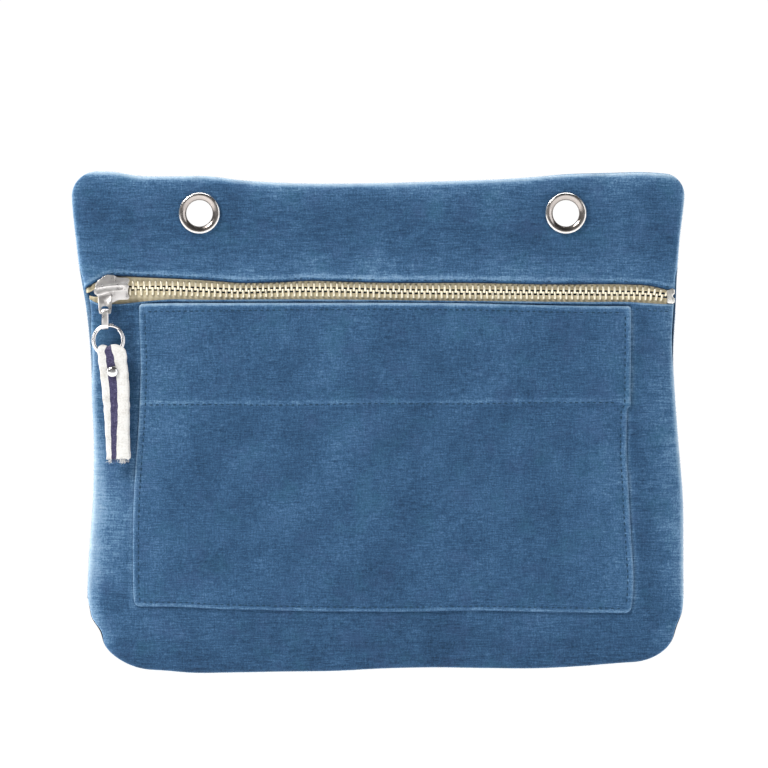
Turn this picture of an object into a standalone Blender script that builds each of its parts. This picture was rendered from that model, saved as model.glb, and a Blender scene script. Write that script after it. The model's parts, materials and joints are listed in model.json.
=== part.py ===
"""Zippered velvet pouch with two eyelets, a patch pocket and a strap tab on the slider.

Metres, +Z up, the front faces -Y. The origin lies midway between the two eyelet axes.
Flat cloth pieces are thin closed shells; the zipper lies on a slightly sloping line.
"""
import math

import bmesh
import bpy
from mathutils import Matrix, Vector

MM = 0.001

# ---- outline of the bag, mm ----
SIDE_Z = (19, -12, -40, -67, -100, -140, -168, -210)
SIDE_LEFT = (-141.9, -140.1, -136.0, -133.2, -132.2, -133.2, -134.5, -134.5)
SIDE_RIGHT = (138.0, 135.4, 133.5, 132.3, 134.2, 136.7, 137.2, 137.2)
TOP_X = (-142, -113, -79, -45, 0, 35, 70, 92, 138)
TOP_Z = (18.9, 17.4, 16.6, 13.9, 13.5, 14.8, 16.6, 18.2, 18.6)
BOT_X = (-135, -100, -75, -30, 20, 65, 100, 137)
BOT_Z = (-208.6, -209.0, -209.9, -208.8, -207.3, -207.4, -206.4, -205.6)
R_TOP = 8.0
R_BOTTOM = 30.0

# ---- cloth ----
T_VELVET = 1.2
T_LINING = 0.5
EDGE_FRONT = 0.5       # inner face of the front at the seam, from the middle plane
EDGE_BACK = 0.2
BAND_RISE = 1.3        # front of the band above its seam edge
LIP_RISE = 3.1         # the folded lips stand this far above the seam edge
MARGIN_RISE = 1.5
RECESS = 1.2           # the front panel sinks this far behind the pocket
BELLY = 12.6           # depth of the back
RAMP_FRONT = 6.0
RAMP_BACK = 25.0
SEAM_IN = 6.5          # the front linings stop this far inside the seams
SEAM_IN_BACK = 9.0

# ---- pocket ----
POCKET_LEFT = -112.3
POCKET_RIGHT = 113.4
POCKET_BOTTOM = -180.3
POCKET_SLOPE = -0.019
POCKET_BELOW = 6.8     # its mouth lies this far below the zipper line
POCKET_T = 1.0
POCKET_GAP = 0.35
POCKET_BULGE = 2.8

# ---- zipper ----
ZIP_X0 = -123.5        # the slider's middle when the zipper is shut
ZIP_Z0 = -34.5
ZIP_SLOPE = -0.0092
TRAVEL = 244.0
LIP = 5.15             # half the gap between the folded lips
PITCH = 2.59
TOOTH_TIP = 0.65
TOOTH_ROOT = 3.05
TOOTH_W = 1.5
TOOTH_DEPTH = 1.2
TEETH_X0 = -127.9
TEETH_X1 = 128.6
TAPE_Y = -2.15
TAPE_IN = 3.4
TAPE_OUT = 12.5
TAPE_X0 = -131.5
TAPE_X1 = 129.4
OPEN_ANGLE = 0.014     # each row turns this much when the zipper is open, rad

# ---- slider ----
SL_HALF = 7.9
SL_NOSE = 6.2
SL_TAIL = 5.0
CHANNEL = 4.2
WALL = 4.85
PLATE_FRONT = -6.1
PLATE_BACK = -5.1

# ---- eyelets ----
EYE_X = 83.75
EYE_BORE = 6.0
EYE_BARREL = 6.6
EYE_FLANGE = 9.55
EYE_HOLE = 7.0

# ---- pull and what hangs on it ----
AXLE = (-126.55, -7.8, -34.6)
AXLE_R = 0.5
TAB_TILT = math.radians(15)
TAB_BAR = 11.2
LINK_X = (-128.0, -125.2)
RING_X = -125.1
RING_Z = -58.0
RING_R = 6.6
RING_WIRE = 0.9
STRAP_BOTTOM = -113.0
STRAP_T = 0.75
RIVET_Z = -72.3
RIVET_X = -123.2
HANG_Y = AXLE[1] - TAB_BAR * math.sin(TAB_TILT)
BAR_Z = AXLE[2] - TAB_BAR * math.cos(TAB_TILT)


def zip_z(x):
    """Height of the zipper's middle line."""
    return ZIP_Z0 + ZIP_SLOPE * (x - ZIP_X0)


ZIP_TURN = math.atan(ZIP_SLOPE)
HINGE_X = ZIP_X0 + TRAVEL * math.cos(ZIP_TURN)
HINGE = (HINGE_X, TAPE_Y, zip_z(HINGE_X))


def curve(xs, ys, x):
    """Smooth curve through stations, by cubic pieces with finite-difference slopes."""
    if xs[0] > xs[-1]:
        xs, ys = xs[::-1], ys[::-1]
    n = len(xs)
    x = min(max(x, xs[0]), xs[-1])
    i = max(j for j in range(n - 1) if x >= xs[j])

    def slope(j):
        a, b = max(j - 1, 0), min(j + 1, n - 1)
        return (ys[b] - ys[a]) / (xs[b] - xs[a])

    h = xs[i + 1] - xs[i]
    t = (x - xs[i]) / h
    return ((2 * t**3 - 3 * t**2 + 1) * ys[i] + (t**3 - 2 * t**2 + t) * h * slope(i)
            + (3 * t**2 - 2 * t**3) * ys[i + 1] + (t**3 - t**2) * h * slope(i + 1))


def top_z(x):
    return curve(TOP_X, TOP_Z, x)


def bottom_z(x):
    return curve(BOT_X, BOT_Z, x)


def ease(a, b, v):
    t = min(max((v - a) / (b - a), 0.0), 1.0)
    return t * t * (3 - 2 * t)


def roll(d, w):
    """Rises from 0 at a seam to 1 at distance w, round like a turned edge."""
    t = min(max(d / w, 0.0), 1.0)
    return math.sqrt(max(0.0, 1 - (1 - t) ** 2))


def corner(r, h):
    h = min(max(h, 0.0), r)
    return r - math.sqrt(max(0.0, r * r - (r - h) ** 2))


def row_point(row, s, inset):
    """A point of a cloth row: x, z and its distances from side, bottom and top edges."""
    kind, v = row

    def height(x):
        if kind == "b":
            return bottom_z(x) + inset + v * (R_BOTTOM - inset) / R_BOTTOM
        if kind == "t":
            return top_z(x) - inset - v * (3.4 - inset) / 3.4 if inset < 3.4 else top_z(x) - inset - v
        if kind == "c":
            return zip_z(x) + v
        return v

    ends = []
    for stations, side in ((SIDE_LEFT, 1), (SIDE_RIGHT, -1)):
        x = stations[3]
        for _ in range(3):
            z = height(x)
            e = curve(SIDE_Z, stations, z)
            low = z - bottom_z(x) - inset
            high = top_z(x) - inset - z
            r_b, r_t = max(R_BOTTOM - inset, 1.0), max(R_TOP - inset, 0.8)
            e += side * (inset + max(corner(r_b, low), corner(r_t, high)))
            x = e
        ends.append(x)
    x = ends[0] + (ends[1] - ends[0]) * s
    z = height(x)
    side = min(x - ends[0], ends[1] - x)
    return x, z, side, z - bottom_z(x) - inset, top_z(x) - inset - z


def graded(n, edge):
    """Parameters from 0 to 1 that crowd towards both ends."""
    mid = [edge[-1] + (1 - 2 * edge[-1]) * k / n for k in range(1, n)]
    return list(edge) + mid + [1 - e for e in reversed(edge)]


def material(name, color, metallic=0.0, rough=0.6, sheen=0.0):
    m = bpy.data.materials.new(name)
    m.use_nodes = True
    b = m.node_tree.nodes["Principled BSDF"]
    b.inputs["Base Color"].default_value = (*color, 1.0)
    b.inputs["Metallic"].default_value = metallic
    b.inputs["Roughness"].default_value = rough
    b.inputs["Sheen Weight"].default_value = sheen
    m.diffuse_color = (*color, 1.0)
    return m


def add(name, verts, faces, mat, pivot=(0, 0, 0)):
    """Make an object from points in mm, with its origin at the pivot."""
    me = bpy.data.meshes.new(name)
    p = Vector(pivot)
    me.from_pydata([tuple((Vector(v) - p) * MM) for v in verts], [], faces)
    bm = bmesh.new()
    bm.from_mesh(me)
    bmesh.ops.recalc_face_normals(bm, faces=bm.faces)
    bm.to_mesh(me)
    bm.free()
    ob = bpy.data.objects.new(name, me)
    bpy.context.scene.collection.objects.link(ob)
    ob.location = p * MM
    me.materials.append(mat)
    return ob


def shell(name, rows, cols, front, back, mat, inset=0.0, thick_in=T_VELVET):
    """Closed cloth shell: front and back depths over one grid, joined round the border."""
    verts, faces = [], []
    nr, nc = len(rows), len(cols)
    for depth, extra in ((front, 0.0), (back, thick_in)):
        for row in rows:
            for s in cols:
                x, z, side, low, high = row_point(row, s, inset + extra)
                verts.append((x, depth(x, z, side, low, high), z))
    grid_faces(verts, faces, nr, nc)
    return add(name, verts, faces, mat)


def grid_faces(verts, faces, nr, nc):
    n = nr * nc
    for i in range(nr - 1):
        for j in range(nc - 1):
            a = i * nc + j
            faces.append((a, a + 1, a + nc + 1, a + nc))
            faces.append((n + a, n + a + nc, n + a + nc + 1, n + a + 1))
    for j in range(nc - 1):
        for a in (j, (nr - 1) * nc + j):
            faces.append((a, a + 1, n + a + 1, n + a))
    for i in range(nr - 1):
        for a in (i * nc, i * nc + nc - 1):
            faces.append((a, a + nc, n + a + nc, n + a))


def prism(name, pts, axis, lo, hi, mat, pivot=(0, 0, 0)):
    """Prism of a 2-D outline along an axis: the outline's plane is the other two axes."""
    def place(p, q):
        if axis == "x":
            return (q, p[0], p[1])
        if axis == "y":
            return (p[0], q, p[1])
        return (p[0], p[1], q)
    n = len(pts)
    verts = [place(p, lo) for p in pts] + [place(p, hi) for p in pts]
    faces = [tuple(range(n)), tuple(range(2 * n - 1, n - 1, -1))]
    faces += [(i, (i + 1) % n, n + (i + 1) % n, n + i) for i in range(n)]
    return add(name, verts, faces, mat, pivot)


def box(name, x0, x1, y0, y1, z0, z1, mat, pivot=(0, 0, 0)):
    return prism(name, [(x0, z0), (x1, z0), (x1, z1), (x0, z1)], "y", y0, y1, mat, pivot)


def loop_prism(name, outer, inner, x0, x1, mat, pivot):
    """A closed band: two outlines in the y-z plane with as many points, joined along x."""
    n = len(outer)
    verts = []
    for x in (x0, x1):
        verts += [(x, y, z) for y, z in outer] + [(x, y, z) for y, z in inner]
    faces = []
    for i in range(n):
        j = (i + 1) % n
        faces += [(i, j, n + j, n + i), (2 * n + i, 3 * n + i, 3 * n + j, 2 * n + j),
                  (i, 2 * n + i, 2 * n + j, j), (n + i, n + j, 3 * n + j, 3 * n + i)]
    return add(name, verts, faces, mat, pivot)


def lathe(name, profile, centre, seg, mat, closed=True):
    """Turn a profile of (radius, y) about an axis along Y; on-axis points become one point."""
    verts, faces, rings = [], [], []
    for r, y in profile:
        if r < 1e-6:
            rings.append([len(verts)] * seg)
            verts.append((centre[0], y, centre[2]))
            continue
        ring = []
        for k in range(seg):
            a = 2 * math.pi * k / seg
            ring.append(len(verts))
            verts.append((centre[0] + r * math.cos(a), y, centre[2] + r * math.sin(a)))
        rings.append(ring)
    pairs = list(zip(rings, rings[1:] + ([rings[0]] if closed else [])))
    for ra, rb in pairs:
        if len(set(ra)) == 1 and len(set(rb)) == 1:
            continue
        for k in range(seg):
            m = (k + 1) % seg
            quad = []
            for v in (ra[k], ra[m], rb[m], rb[k]):
                if v not in quad:
                    quad.append(v)
            faces.append(tuple(quad))
    return add(name, verts, faces, mat, centre)


def combine(base, tool, how):
    """Exact boolean of two objects, the tool is used up."""
    mod = base.modifiers.new("b", "BOOLEAN")
    mod.operation = how
    mod.solver = "EXACT"
    mod.object = tool
    dg = bpy.context.evaluated_depsgraph_get()
    me = bpy.data.meshes.new_from_object(base.evaluated_get(dg))
    base.modifiers.clear()
    old = base.data
    base.data = me
    name = old.name
    bpy.data.meshes.remove(old)
    me.name = name
    bpy.data.objects.remove(tool)
    mat = me.materials[0]
    me.materials.clear()
    me.materials.append(mat)
    for p in me.polygons:
        p.material_index = 0
    return base


def drill(ob, x, z, r, y0, y1, seg=20):
    pts = [(x + r * math.cos(2 * math.pi * k / seg + 0.13), z + r * math.sin(2 * math.pi * k / seg + 0.13))
           for k in range(seg)]
    combine(ob, prism("tool", pts, "y", y0, y1, ob.data.materials[0]), "DIFFERENCE")


def turn(ob, matrix_about, angle, axis):
    """Turn an object's mesh about a point in mm, keeping its origin."""
    p = Vector(matrix_about) * MM - ob.location
    m = Matrix.Translation(p) @ Matrix.Rotation(angle, 4, axis) @ Matrix.Translation(-p)
    ob.data.transform(m)


# ---- depth functions of the cloth pieces, mm ----
def band_rise(z):
    return BAND_RISE + (LIP_RISE - BAND_RISE) * ease(-11.6, -19.0, z)


def yoke_front(x, z, side, low, high):
    return -(EDGE_FRONT + T_VELVET + band_rise(z) * roll(side, RAMP_FRONT) * roll(high, RAMP_FRONT))


def yoke_back(x, z, side, low, high):
    w = RAMP_FRONT - T_VELVET
    return -(EDGE_FRONT + band_rise(z) * roll(side, w) * roll(high, w))


def behind_pocket(x, z):
    """1 in the middle of the pocket, 0 outside it."""
    s = ease(POCKET_LEFT + 3, POCKET_LEFT + 20, x) * ease(POCKET_RIGHT - 3, POCKET_RIGHT - 20, x)
    b = POCKET_BOTTOM + POCKET_SLOPE * x
    return s * ease(b + 3, b + 20, z) * ease(zip_z(x) - 21, zip_z(x) - 29, z)


def lip_rise(x, z):
    """Rise of the flat front: high where the tape turns behind it, lower further down."""
    return MARGIN_RISE + (LIP_RISE - MARGIN_RISE) * ease(zip_z(x) - 21, zip_z(x) - 16.2, z)


def front_rise(x, z):
    return lip_rise(x, z) - RECESS * behind_pocket(x, z)


def panel_front(x, z, side, low, high):
    return -(EDGE_FRONT + T_VELVET + front_rise(x, z) * roll(side, RAMP_FRONT) * roll(low, RAMP_FRONT))


def panel_back(x, z, side, low, high):
    w = RAMP_FRONT - T_VELVET
    return -(EDGE_FRONT + front_rise(x, z) * roll(side, w) * roll(low, w))


def belly(z):
    return BELLY * ease(-11.6, -78.0, z)


def back_outer(x, z, side, low, high):
    return EDGE_BACK + T_VELVET + belly(z) * roll(side, RAMP_BACK) * roll(low, RAMP_BACK)


def back_inner(x, z, side, low, high):
    w = RAMP_BACK - T_VELVET
    return EDGE_BACK + belly(z) * roll(side, w) * roll(low, w)


COLS = graded(9, (0.0, 0.0045, 0.014, 0.03, 0.085))
COLS_LINING = graded(5, (0.0, 0.03))
BAND_ROWS = [("z", -19.0), ("z", -15.0), ("z", -11.5), ("z", 4.0), ("z", 9.7),
             ("t", 2.0), ("t", 0.7), ("t", 0.0)]


def build_cloth():
    yoke = shell("front_yoke", [("c", LIP), ("z", -24.0)] + BAND_ROWS, COLS, yoke_front, yoke_back,
                 material("front_yoke", (0.055, 0.135, 0.31), 0.0, 0.9, 0.6))
    low_rows = [("b", 0.0), ("b", 0.8), ("b", 3.2), ("b", 8.0), ("b", 16.0), ("b", 30.0)]
    panel = shell("front_panel", low_rows + [("z", v) for v in (-163, -115)]
                  + [("c", v) for v in (-29, -25, -21, -18.5, -16.2, -LIP)],
                  COLS, panel_front, panel_back, material("front_panel", (0.055, 0.135, 0.31), 0.0, 0.9, 0.6))
    rows = low_rows + [("z", v) for v in (-128, -78, -64, -50, -38, -27)] + BAND_ROWS
    back = shell("back_panel", rows, COLS, back_outer, back_inner,
                 material("back_panel", (0.05, 0.12, 0.28), 0.0, 0.9, 0.6))

    lin = material("lining_yoke", (0.045, 0.06, 0.10), 0.0, 0.55)
    top_rows = [("z", -11.0), ("t", 0.0)]
    ly = shell("lining_yoke", [("c", 7.7), ("z", -11.0), ("t", 1.5)], COLS_LINING,
               lambda *a: -1.5, lambda *a: -1.0, lin, SEAM_IN, 0.0)
    bot = [("b", 0.0), ("b", 2.5), ("b", 9.0), ("b", 24.0)]
    lf = shell("lining_front", bot + [("z", -120), ("c", -7.2)], COLS_LINING,
               lambda *a: -0.5, lambda *a: -0.5 + T_LINING,
               material("lining_front", (0.045, 0.06, 0.10), 0.0, 0.55), SEAM_IN, 0.0)

    def lining_depth(x, z, side, low, high):
        w = RAMP_BACK - T_VELVET
        d = SEAM_IN_BACK - T_VELVET
        gap = 0.3 + 0.5 * ease(-12, -22, z) + 0.9 * ease(-45, -70, z)
        return EDGE_BACK - gap + belly(z) * roll(side + d, w) * roll(low + d, w)

    lb = shell("lining_back", bot + [("z", v) for v in (-128, -80, -66, -52, -40, -30, -20)] + top_rows,
               graded(7, (0.0, 0.02, 0.07)), lining_depth,
               lambda *a: lining_depth(*a) - T_LINING,
               material("lining_back", (0.045, 0.06, 0.10), 0.0, 0.55), SEAM_IN_BACK, 0.0)
    for ob in (yoke, back, ly, lb):
        for x in (-EYE_X, EYE_X):
            drill(ob, x, 0.0, EYE_HOLE, -9.0, 6.0)


def pocket_inner(x, z):
    side = min(x - POCKET_LEFT, POCKET_RIGHT - x)
    low = z - (POCKET_BOTTOM + POCKET_SLOPE * x)
    base = EDGE_FRONT + T_VELVET + POCKET_GAP
    bulge = POCKET_BULGE * ease(0, 20, side) * ease(0, 20, low)
    return -(base + max(lip_rise(x, z), MARGIN_RISE + bulge))


def build_pocket():
    cols = graded(6, (0.0, 0.02, 0.045, 0.09))
    fr = [0.0, 4.0, 10.0, 20.0, 60.0]
    tops = (-29.0, -21.0, -18.5, -16.2, -11.0, -POCKET_BELOW)
    verts, faces = [], []
    for thick in (POCKET_T, 0.0):
        for k in range(len(fr) + len(tops)):
            for s in cols:
                x = POCKET_LEFT + (POCKET_RIGHT - POCKET_LEFT) * s
                b = POCKET_BOTTOM + POCKET_SLOPE * x
                if k < len(fr):
                    z = b + fr[k]
                else:
                    z = zip_z(x) + tops[k - len(fr)]
                verts.append((x, pocket_inner(x, z) - thick, z))
    grid_faces(verts, faces, len(fr) + len(tops), len(cols))
    add("patch_pocket", verts, faces, material("patch_pocket", (0.06, 0.14, 0.32), 0.0, 0.9, 0.6))


def build_eyelets():
    chrome = (0.80, 0.81, 0.83)
    for side, x in (("left", -EYE_X), ("right", EYE_X)):
        m = material("eyelet_" + side, chrome, 1.0, 0.15)
        profile = [(EYE_BORE, 3.3), (EYE_BORE, -4.2), (6.2, -4.6), (7.0, -4.95), (8.2, -4.8), (9.1, -4.3),
                   (EYE_FLANGE, -3.7), (9.4, -3.3), (EYE_BARREL, -3.3), (EYE_BARREL, 2.85),
                   (8.0, 2.85), (8.2, 3.15), (7.6, 3.5), (6.4, 3.6)]
        lathe("eyelet_" + side, profile, (x, 0, 0), 20, m)
        w = material("eyelet_washer_" + side, chrome, 1.0, 0.25)
        lathe("eyelet_washer_" + side, [(7.0, 1.7), (9.4, 1.7), (9.4, 2.1), (8.9, 2.5), (7.0, 2.5)],
              (x, 0, 0), 20, w)


def comb(name, sign, mat):
    """One row of teeth on a common bead, as a comb outline pushed through its depth."""
    shift = 0.0 if sign > 0 else PITCH / 2
    n = int((TEETH_X1 - TEETH_X0 - TOOTH_W - shift) / PITCH) + 1
    bead = 2.3
    verts, faces = [], []
    m = 5 * n + 2
    for y in (TAPE_Y - TOOTH_DEPTH, TAPE_Y + TOOTH_DEPTH):
        for k in range(n):
            a = TEETH_X0 + shift + k * PITCH
            b = a + TOOTH_W
            pts = [(a, TOOTH_ROOT), (a, bead), (a + 0.25, TOOTH_TIP), (b - 0.25, TOOTH_TIP), (b, bead)]
            if k == n - 1:
                pts.append((b, TOOTH_ROOT))
            verts += [(x, y, zip_z(x) + sign * w) for x, w in pts]
        verts.append(verts[-1])
    for k in range(n):
        r, a, ta, tb, b = range(5 * k, 5 * k + 5)
        c, d = (b + 1, b + 2) if k < n - 1 else (b + 1, None)
        caps = [(a, ta, tb, b), (r, a, b)]
        caps += [(r, b, d), (r, d, c)] if d else [(r, b, c)]
        walls = [(a, ta), (ta, tb), (tb, b), (r, c)] + ([(b, d)] if d else [(b, c)])
        walls += [(r, a)] if k == 0 else []
        for f in caps:
            faces += [f, tuple(m + v for v in reversed(f))]
        faces += [(p, q, m + q, m + p) for p, q in walls]
    used = sorted({v for f in faces for v in f})
    back = {v: i for i, v in enumerate(used)}
    return add(name, [verts[v] for v in used], [tuple(back[v] for v in f) for f in faces], mat, HINGE)


def build_zipper():
    for name, sign in (("upper", 1), ("lower", -1)):
        tape = material("zipper_tape_" + name, (0.55, 0.50, 0.40), 0.0, 0.85)
        pts = [(x, zip_z(x) + sign * w) for x, w in
               ((TAPE_X0, TAPE_IN), (TAPE_X1, TAPE_IN), (TAPE_X1, TAPE_OUT), (TAPE_X0, TAPE_OUT))]
        prism("zipper_tape_" + name, pts, "y", TAPE_Y - 0.25, TAPE_Y + 0.25, tape, HINGE)
        comb("zipper_teeth_" + name, sign, material("zipper_teeth_" + name, (0.72, 0.66, 0.52), 1.0, 0.3))
        x0, x1 = -131.0, -128.9
        pts = [(x, zip_z(x) + sign * w) for x, w in
               ((x0, TOOTH_TIP + 0.3), (x0 + 0.4, TOOTH_TIP), (x1, TOOTH_TIP), (x1, TOOTH_ROOT),
                (x0 + 0.4, TOOTH_ROOT), (x0, TOOTH_ROOT - 0.3))]
        prism("top_stop_" + name, pts, "y", TAPE_Y - TOOTH_DEPTH, TAPE_Y + TOOTH_DEPTH,
              material("top_stop_" + name, (0.75, 0.70, 0.58), 1.0, 0.3), HINGE)
    x0, x1 = 129.75, 133.1
    c = zip_z(131.4)
    pts = [(x0, c - 2.9), (x0 + 0.4, c - 3.35), (x1 - 0.4, c - 3.35), (x1, c - 2.9), (x1, c - 1.0),
           (x1 - 0.5, c - 0.5), (x1 - 0.5, c + 0.5), (x1, c + 1.0), (x1, c + 2.9), (x1 - 0.4, c + 3.35),
           (x0 + 0.4, c + 3.35), (x0, c + 2.9)]
    prism("bottom_stop", pts, "y", TAPE_Y - 1.6, TAPE_Y + 1.3,
          material("bottom_stop", (0.78, 0.78, 0.78), 1.0, 0.28))


def build_slider():
    nickel = material("slider_body", (0.74, 0.75, 0.77), 1.0, 0.22)
    x0, x1 = ZIP_X0 - SL_HALF, ZIP_X0 + SL_HALF
    z = ZIP_Z0
    p = (ZIP_X0, TAPE_Y, ZIP_Z0)
    plate = [(x0, z - 4.4), (x0 + 0.9, z - 5.7), (x0 + 2.6, z - SL_NOSE), (x0 + 6.5, z - SL_NOSE + 0.3),
             (x1 - 2.2, z - SL_TAIL - 0.2), (x1 - 0.6, z - SL_TAIL + 0.6), (x1, z - 3.2)]
    plate += [(x, 2 * z - w) for x, w in reversed(plate)]
    body = prism("slider_body", plate, "y", PLATE_FRONT, PLATE_BACK, nickel, p)
    front_y = TAPE_Y - TOOTH_DEPTH - 0.3
    back_y = TAPE_Y + TOOTH_DEPTH + 0.3
    e = 0.05
    a, b = x0 + 0.9, x1 - 0.5
    i, o = CHANNEL, WALL - 0.03
    pieces = [(a, b, PLATE_BACK - e, front_y, z - WALL, z + WALL),
              (a + e, b - e, front_y - e, TAPE_Y - 0.6, z + i, z + o),
              (a + e, b - e, front_y - e, TAPE_Y - 0.6, z - o, z - i),
              (a + 0.3, a + 4.5, front_y - e, back_y + e, z - 0.35, z + 0.35),
              (a, b, back_y, back_y + 0.9, z - WALL, z + WALL),
              (a + e, b - e, TAPE_Y + 0.6, back_y + e, z + i, z + o),
              (a + e, b - e, TAPE_Y + 0.6, back_y + e, z - o, z - i)]
    for q in pieces:
        combine(body, box("tool", *q, nickel), "UNION")
    turn(body, p, -ZIP_TURN, "Y")

    ax, ay, az = AXLE
    m = material("slider_crown", (0.76, 0.77, 0.79), 1.0, 0.2)
    crown = box("slider_crown", x0 + 0.2, x1 - 0.4, -10.4, -9.45, az - 0.3, az + 3.0, m, p)
    for xa, xb in ((x0 + 0.25, x0 + 1.15), (x1 - 3.6, x1 - 0.45)):
        combine(crown, box("tool", xa, xb, -9.5, PLATE_FRONT - 0.3, az - 0.9, az + 2.2, m), "UNION")
    pts = [(ay + AXLE_R * math.cos(math.pi * k / 5 + 0.07), az + AXLE_R * math.sin(math.pi * k / 5 + 0.07))
           for k in range(10)]
    combine(crown, prism("tool", pts, "x", x0 + 0.6, x1 - 3.0, m), "UNION")


def build_pull():
    ax, ay, az = AXLE
    m = material("pull_tab", (0.74, 0.75, 0.77), 1.0, 0.25)
    x0, x1 = ax - 3.35, ax + 3.35
    c = (x0 + x1) / 2
    outline = [(x0, az - 0.2), (x0 + 0.25, az - 8.5), (x0 + 0.7, az - 11.3), (x0 + 1.3, az - 11.9),
               (x1 - 1.3, az - 11.9), (x1 - 0.7, az - 11.3), (x1 - 0.25, az - 8.5), (x1, az - 0.2)]
    tab = prism("pull_tab", outline, "y", ay - 0.6, ay + 0.6, m, AXLE)
    for r, how in ((1.35, "UNION"), (0.8, "DIFFERENCE")):
        over = 0.0 if how == "UNION" else 1.0
        pts = [(ay + r * math.cos(math.pi * k / 8 + 0.1), az + r * math.sin(math.pi * k / 8 + 0.1))
               for k in range(16)]
        combine(tab, prism("tool", pts, "x", x0 + 0.1 - over, x1 - 0.1 + over, m), how)
    combine(tab, box("tool", c - 1.75, c + 1.75, ay - 2, ay + 2, az - 10.5, az - 8.2, m), "DIFFERENCE")
    turn(tab, AXLE, -TAB_TILT, "X")

    lm = material("pull_link", (0.72, 0.73, 0.75), 1.0, 0.25)
    loops = []
    for grow in (0.6, 0.0):
        pts = []
        for k in range(7):
            a = math.pi * k / 6
            pts.append((HANG_Y + (1.25 + grow) * math.cos(a), BAR_Z + (1.25 + grow) * math.sin(a)))
        for k in range(7):
            a = math.pi + math.pi * k / 6
            pts.append((HANG_Y + (1.6 + grow) * math.cos(a), RING_Z + RING_R - 0.7 + (1.6 + grow) * math.sin(a)))
        loops.append(pts)
    loop_prism("pull_link", loops[0], loops[1], LINK_X[0], LINK_X[1], lm, (ax, HANG_Y, BAR_Z))

    rm = material("split_ring", (0.76, 0.76, 0.78), 1.0, 0.2)
    top = (RING_X, HANG_Y, RING_Z + RING_R)
    profile = [(RING_R + RING_WIRE * math.cos(math.pi * k / 3), HANG_Y + RING_WIRE * math.sin(math.pi * k / 3))
               for k in range(6)]
    ring = lathe("split_ring", profile, (RING_X, 0, RING_Z), 24, rm)
    shift = ring.location - Vector(top) * MM
    ring.data.transform(Matrix.Translation(shift))
    ring.location = Vector(top) * MM


def build_strap():
    """Folded tape: one closed ribbon that goes up the front, over the ring and down the back."""
    hinge_z = RING_Z - RING_R
    m = material("strap_tab", (0.83, 0.82, 0.80), 0.0, 0.9)
    fold_top = -60.9
    half = 2.05
    side = [(0.2, STRAP_BOTTOM), (0.2, -90.0), (0.2, -69.3), (0.95, -68.0),
            (half, hinge_z - 0.7), (half, fold_top - 2.0), (half - 0.75, fold_top - 0.45)]
    path = [(-u, w) for u, w in side] + [(0.0, fold_top)] + [(u, w) for u, w in reversed(side)]
    verts, faces = [], []
    n = len(path)
    for i, (u, w) in enumerate(path):
        a, b = path[max(i - 1, 0)], path[min(i + 1, n - 1)]
        t = Vector((b[0] - a[0], b[1] - a[1])).normalized()
        nrm = Vector((-t.y, t.x))
        wide = 4.3 + 2.5 * ease(-66.2, -69.3, w) - 1.0 * ease(-85.0, -110.0, w)
        mid = RING_X + 1.6 * ease(-66.2, -69.3, w) + 0.7 * ease(-72.0, -112.0, w)
        for k in (-1, 1):
            verts.append((mid + k * wide, HANG_Y + u, w))
        for k in (-1, 1):
            q = Vector((u, w)) + nrm * STRAP_T
            verts.append((mid + k * wide, HANG_Y + q.x, q.y))
    for i in range(n - 1):
        a, b = 4 * i, 4 * (i + 1)
        faces += [(a, a + 1, b + 1, b), (a + 2, b + 2, b + 3, a + 3),
                  (a, b, b + 2, a + 2), (a + 1, a + 3, b + 3, b + 1)]
    faces += [(0, 2, 3, 1), (4 * n - 4, 4 * n - 3, 4 * n - 1, 4 * n - 2)]
    strap = add("strap_tab", verts, faces, m, (RING_X, HANG_Y, hinge_z))
    drill(strap, RIVET_X, RIVET_Z, 1.35, HANG_Y - 4, HANG_Y + 4, 12)

    pivot = Vector((RING_X, HANG_Y, hinge_z)) * MM
    steel = (0.78, 0.78, 0.79)
    f = HANG_Y - 0.2 - STRAP_T - 0.35
    cap = lathe("strap_rivet_cap", [(0, f - 1.3), (1.2, f - 1.2), (2.1, f - 0.75), (2.6, f), (1.35, f),
                                    (1.35, f - 0.6), (0, f - 0.6)], (RIVET_X, 0, RIVET_Z), 16,
                material("strap_rivet_cap", steel, 1.0, 0.22), False)
    g = HANG_Y + 0.2 + STRAP_T + 0.35
    post = lathe("strap_rivet_post", [(0, f - 0.3), (1.0, f - 0.3), (1.0, g), (2.4, g), (2.4, g + 0.3),
                                      (1.9, g + 0.6), (0, g + 0.6)], (RIVET_X, 0, RIVET_Z), 16,
                 material("strap_rivet_post", steel, 1.0, 0.25), False)
    for ob in (cap, post):
        shift = ob.location - pivot
        ob.data.transform(Matrix.Translation(shift))
        ob.location = pivot


for ob in list(bpy.data.objects):
    bpy.data.objects.remove(ob)
build_cloth()
build_pocket()
build_eyelets()
build_zipper()
build_slider()
build_pull()
build_strap()
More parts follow.
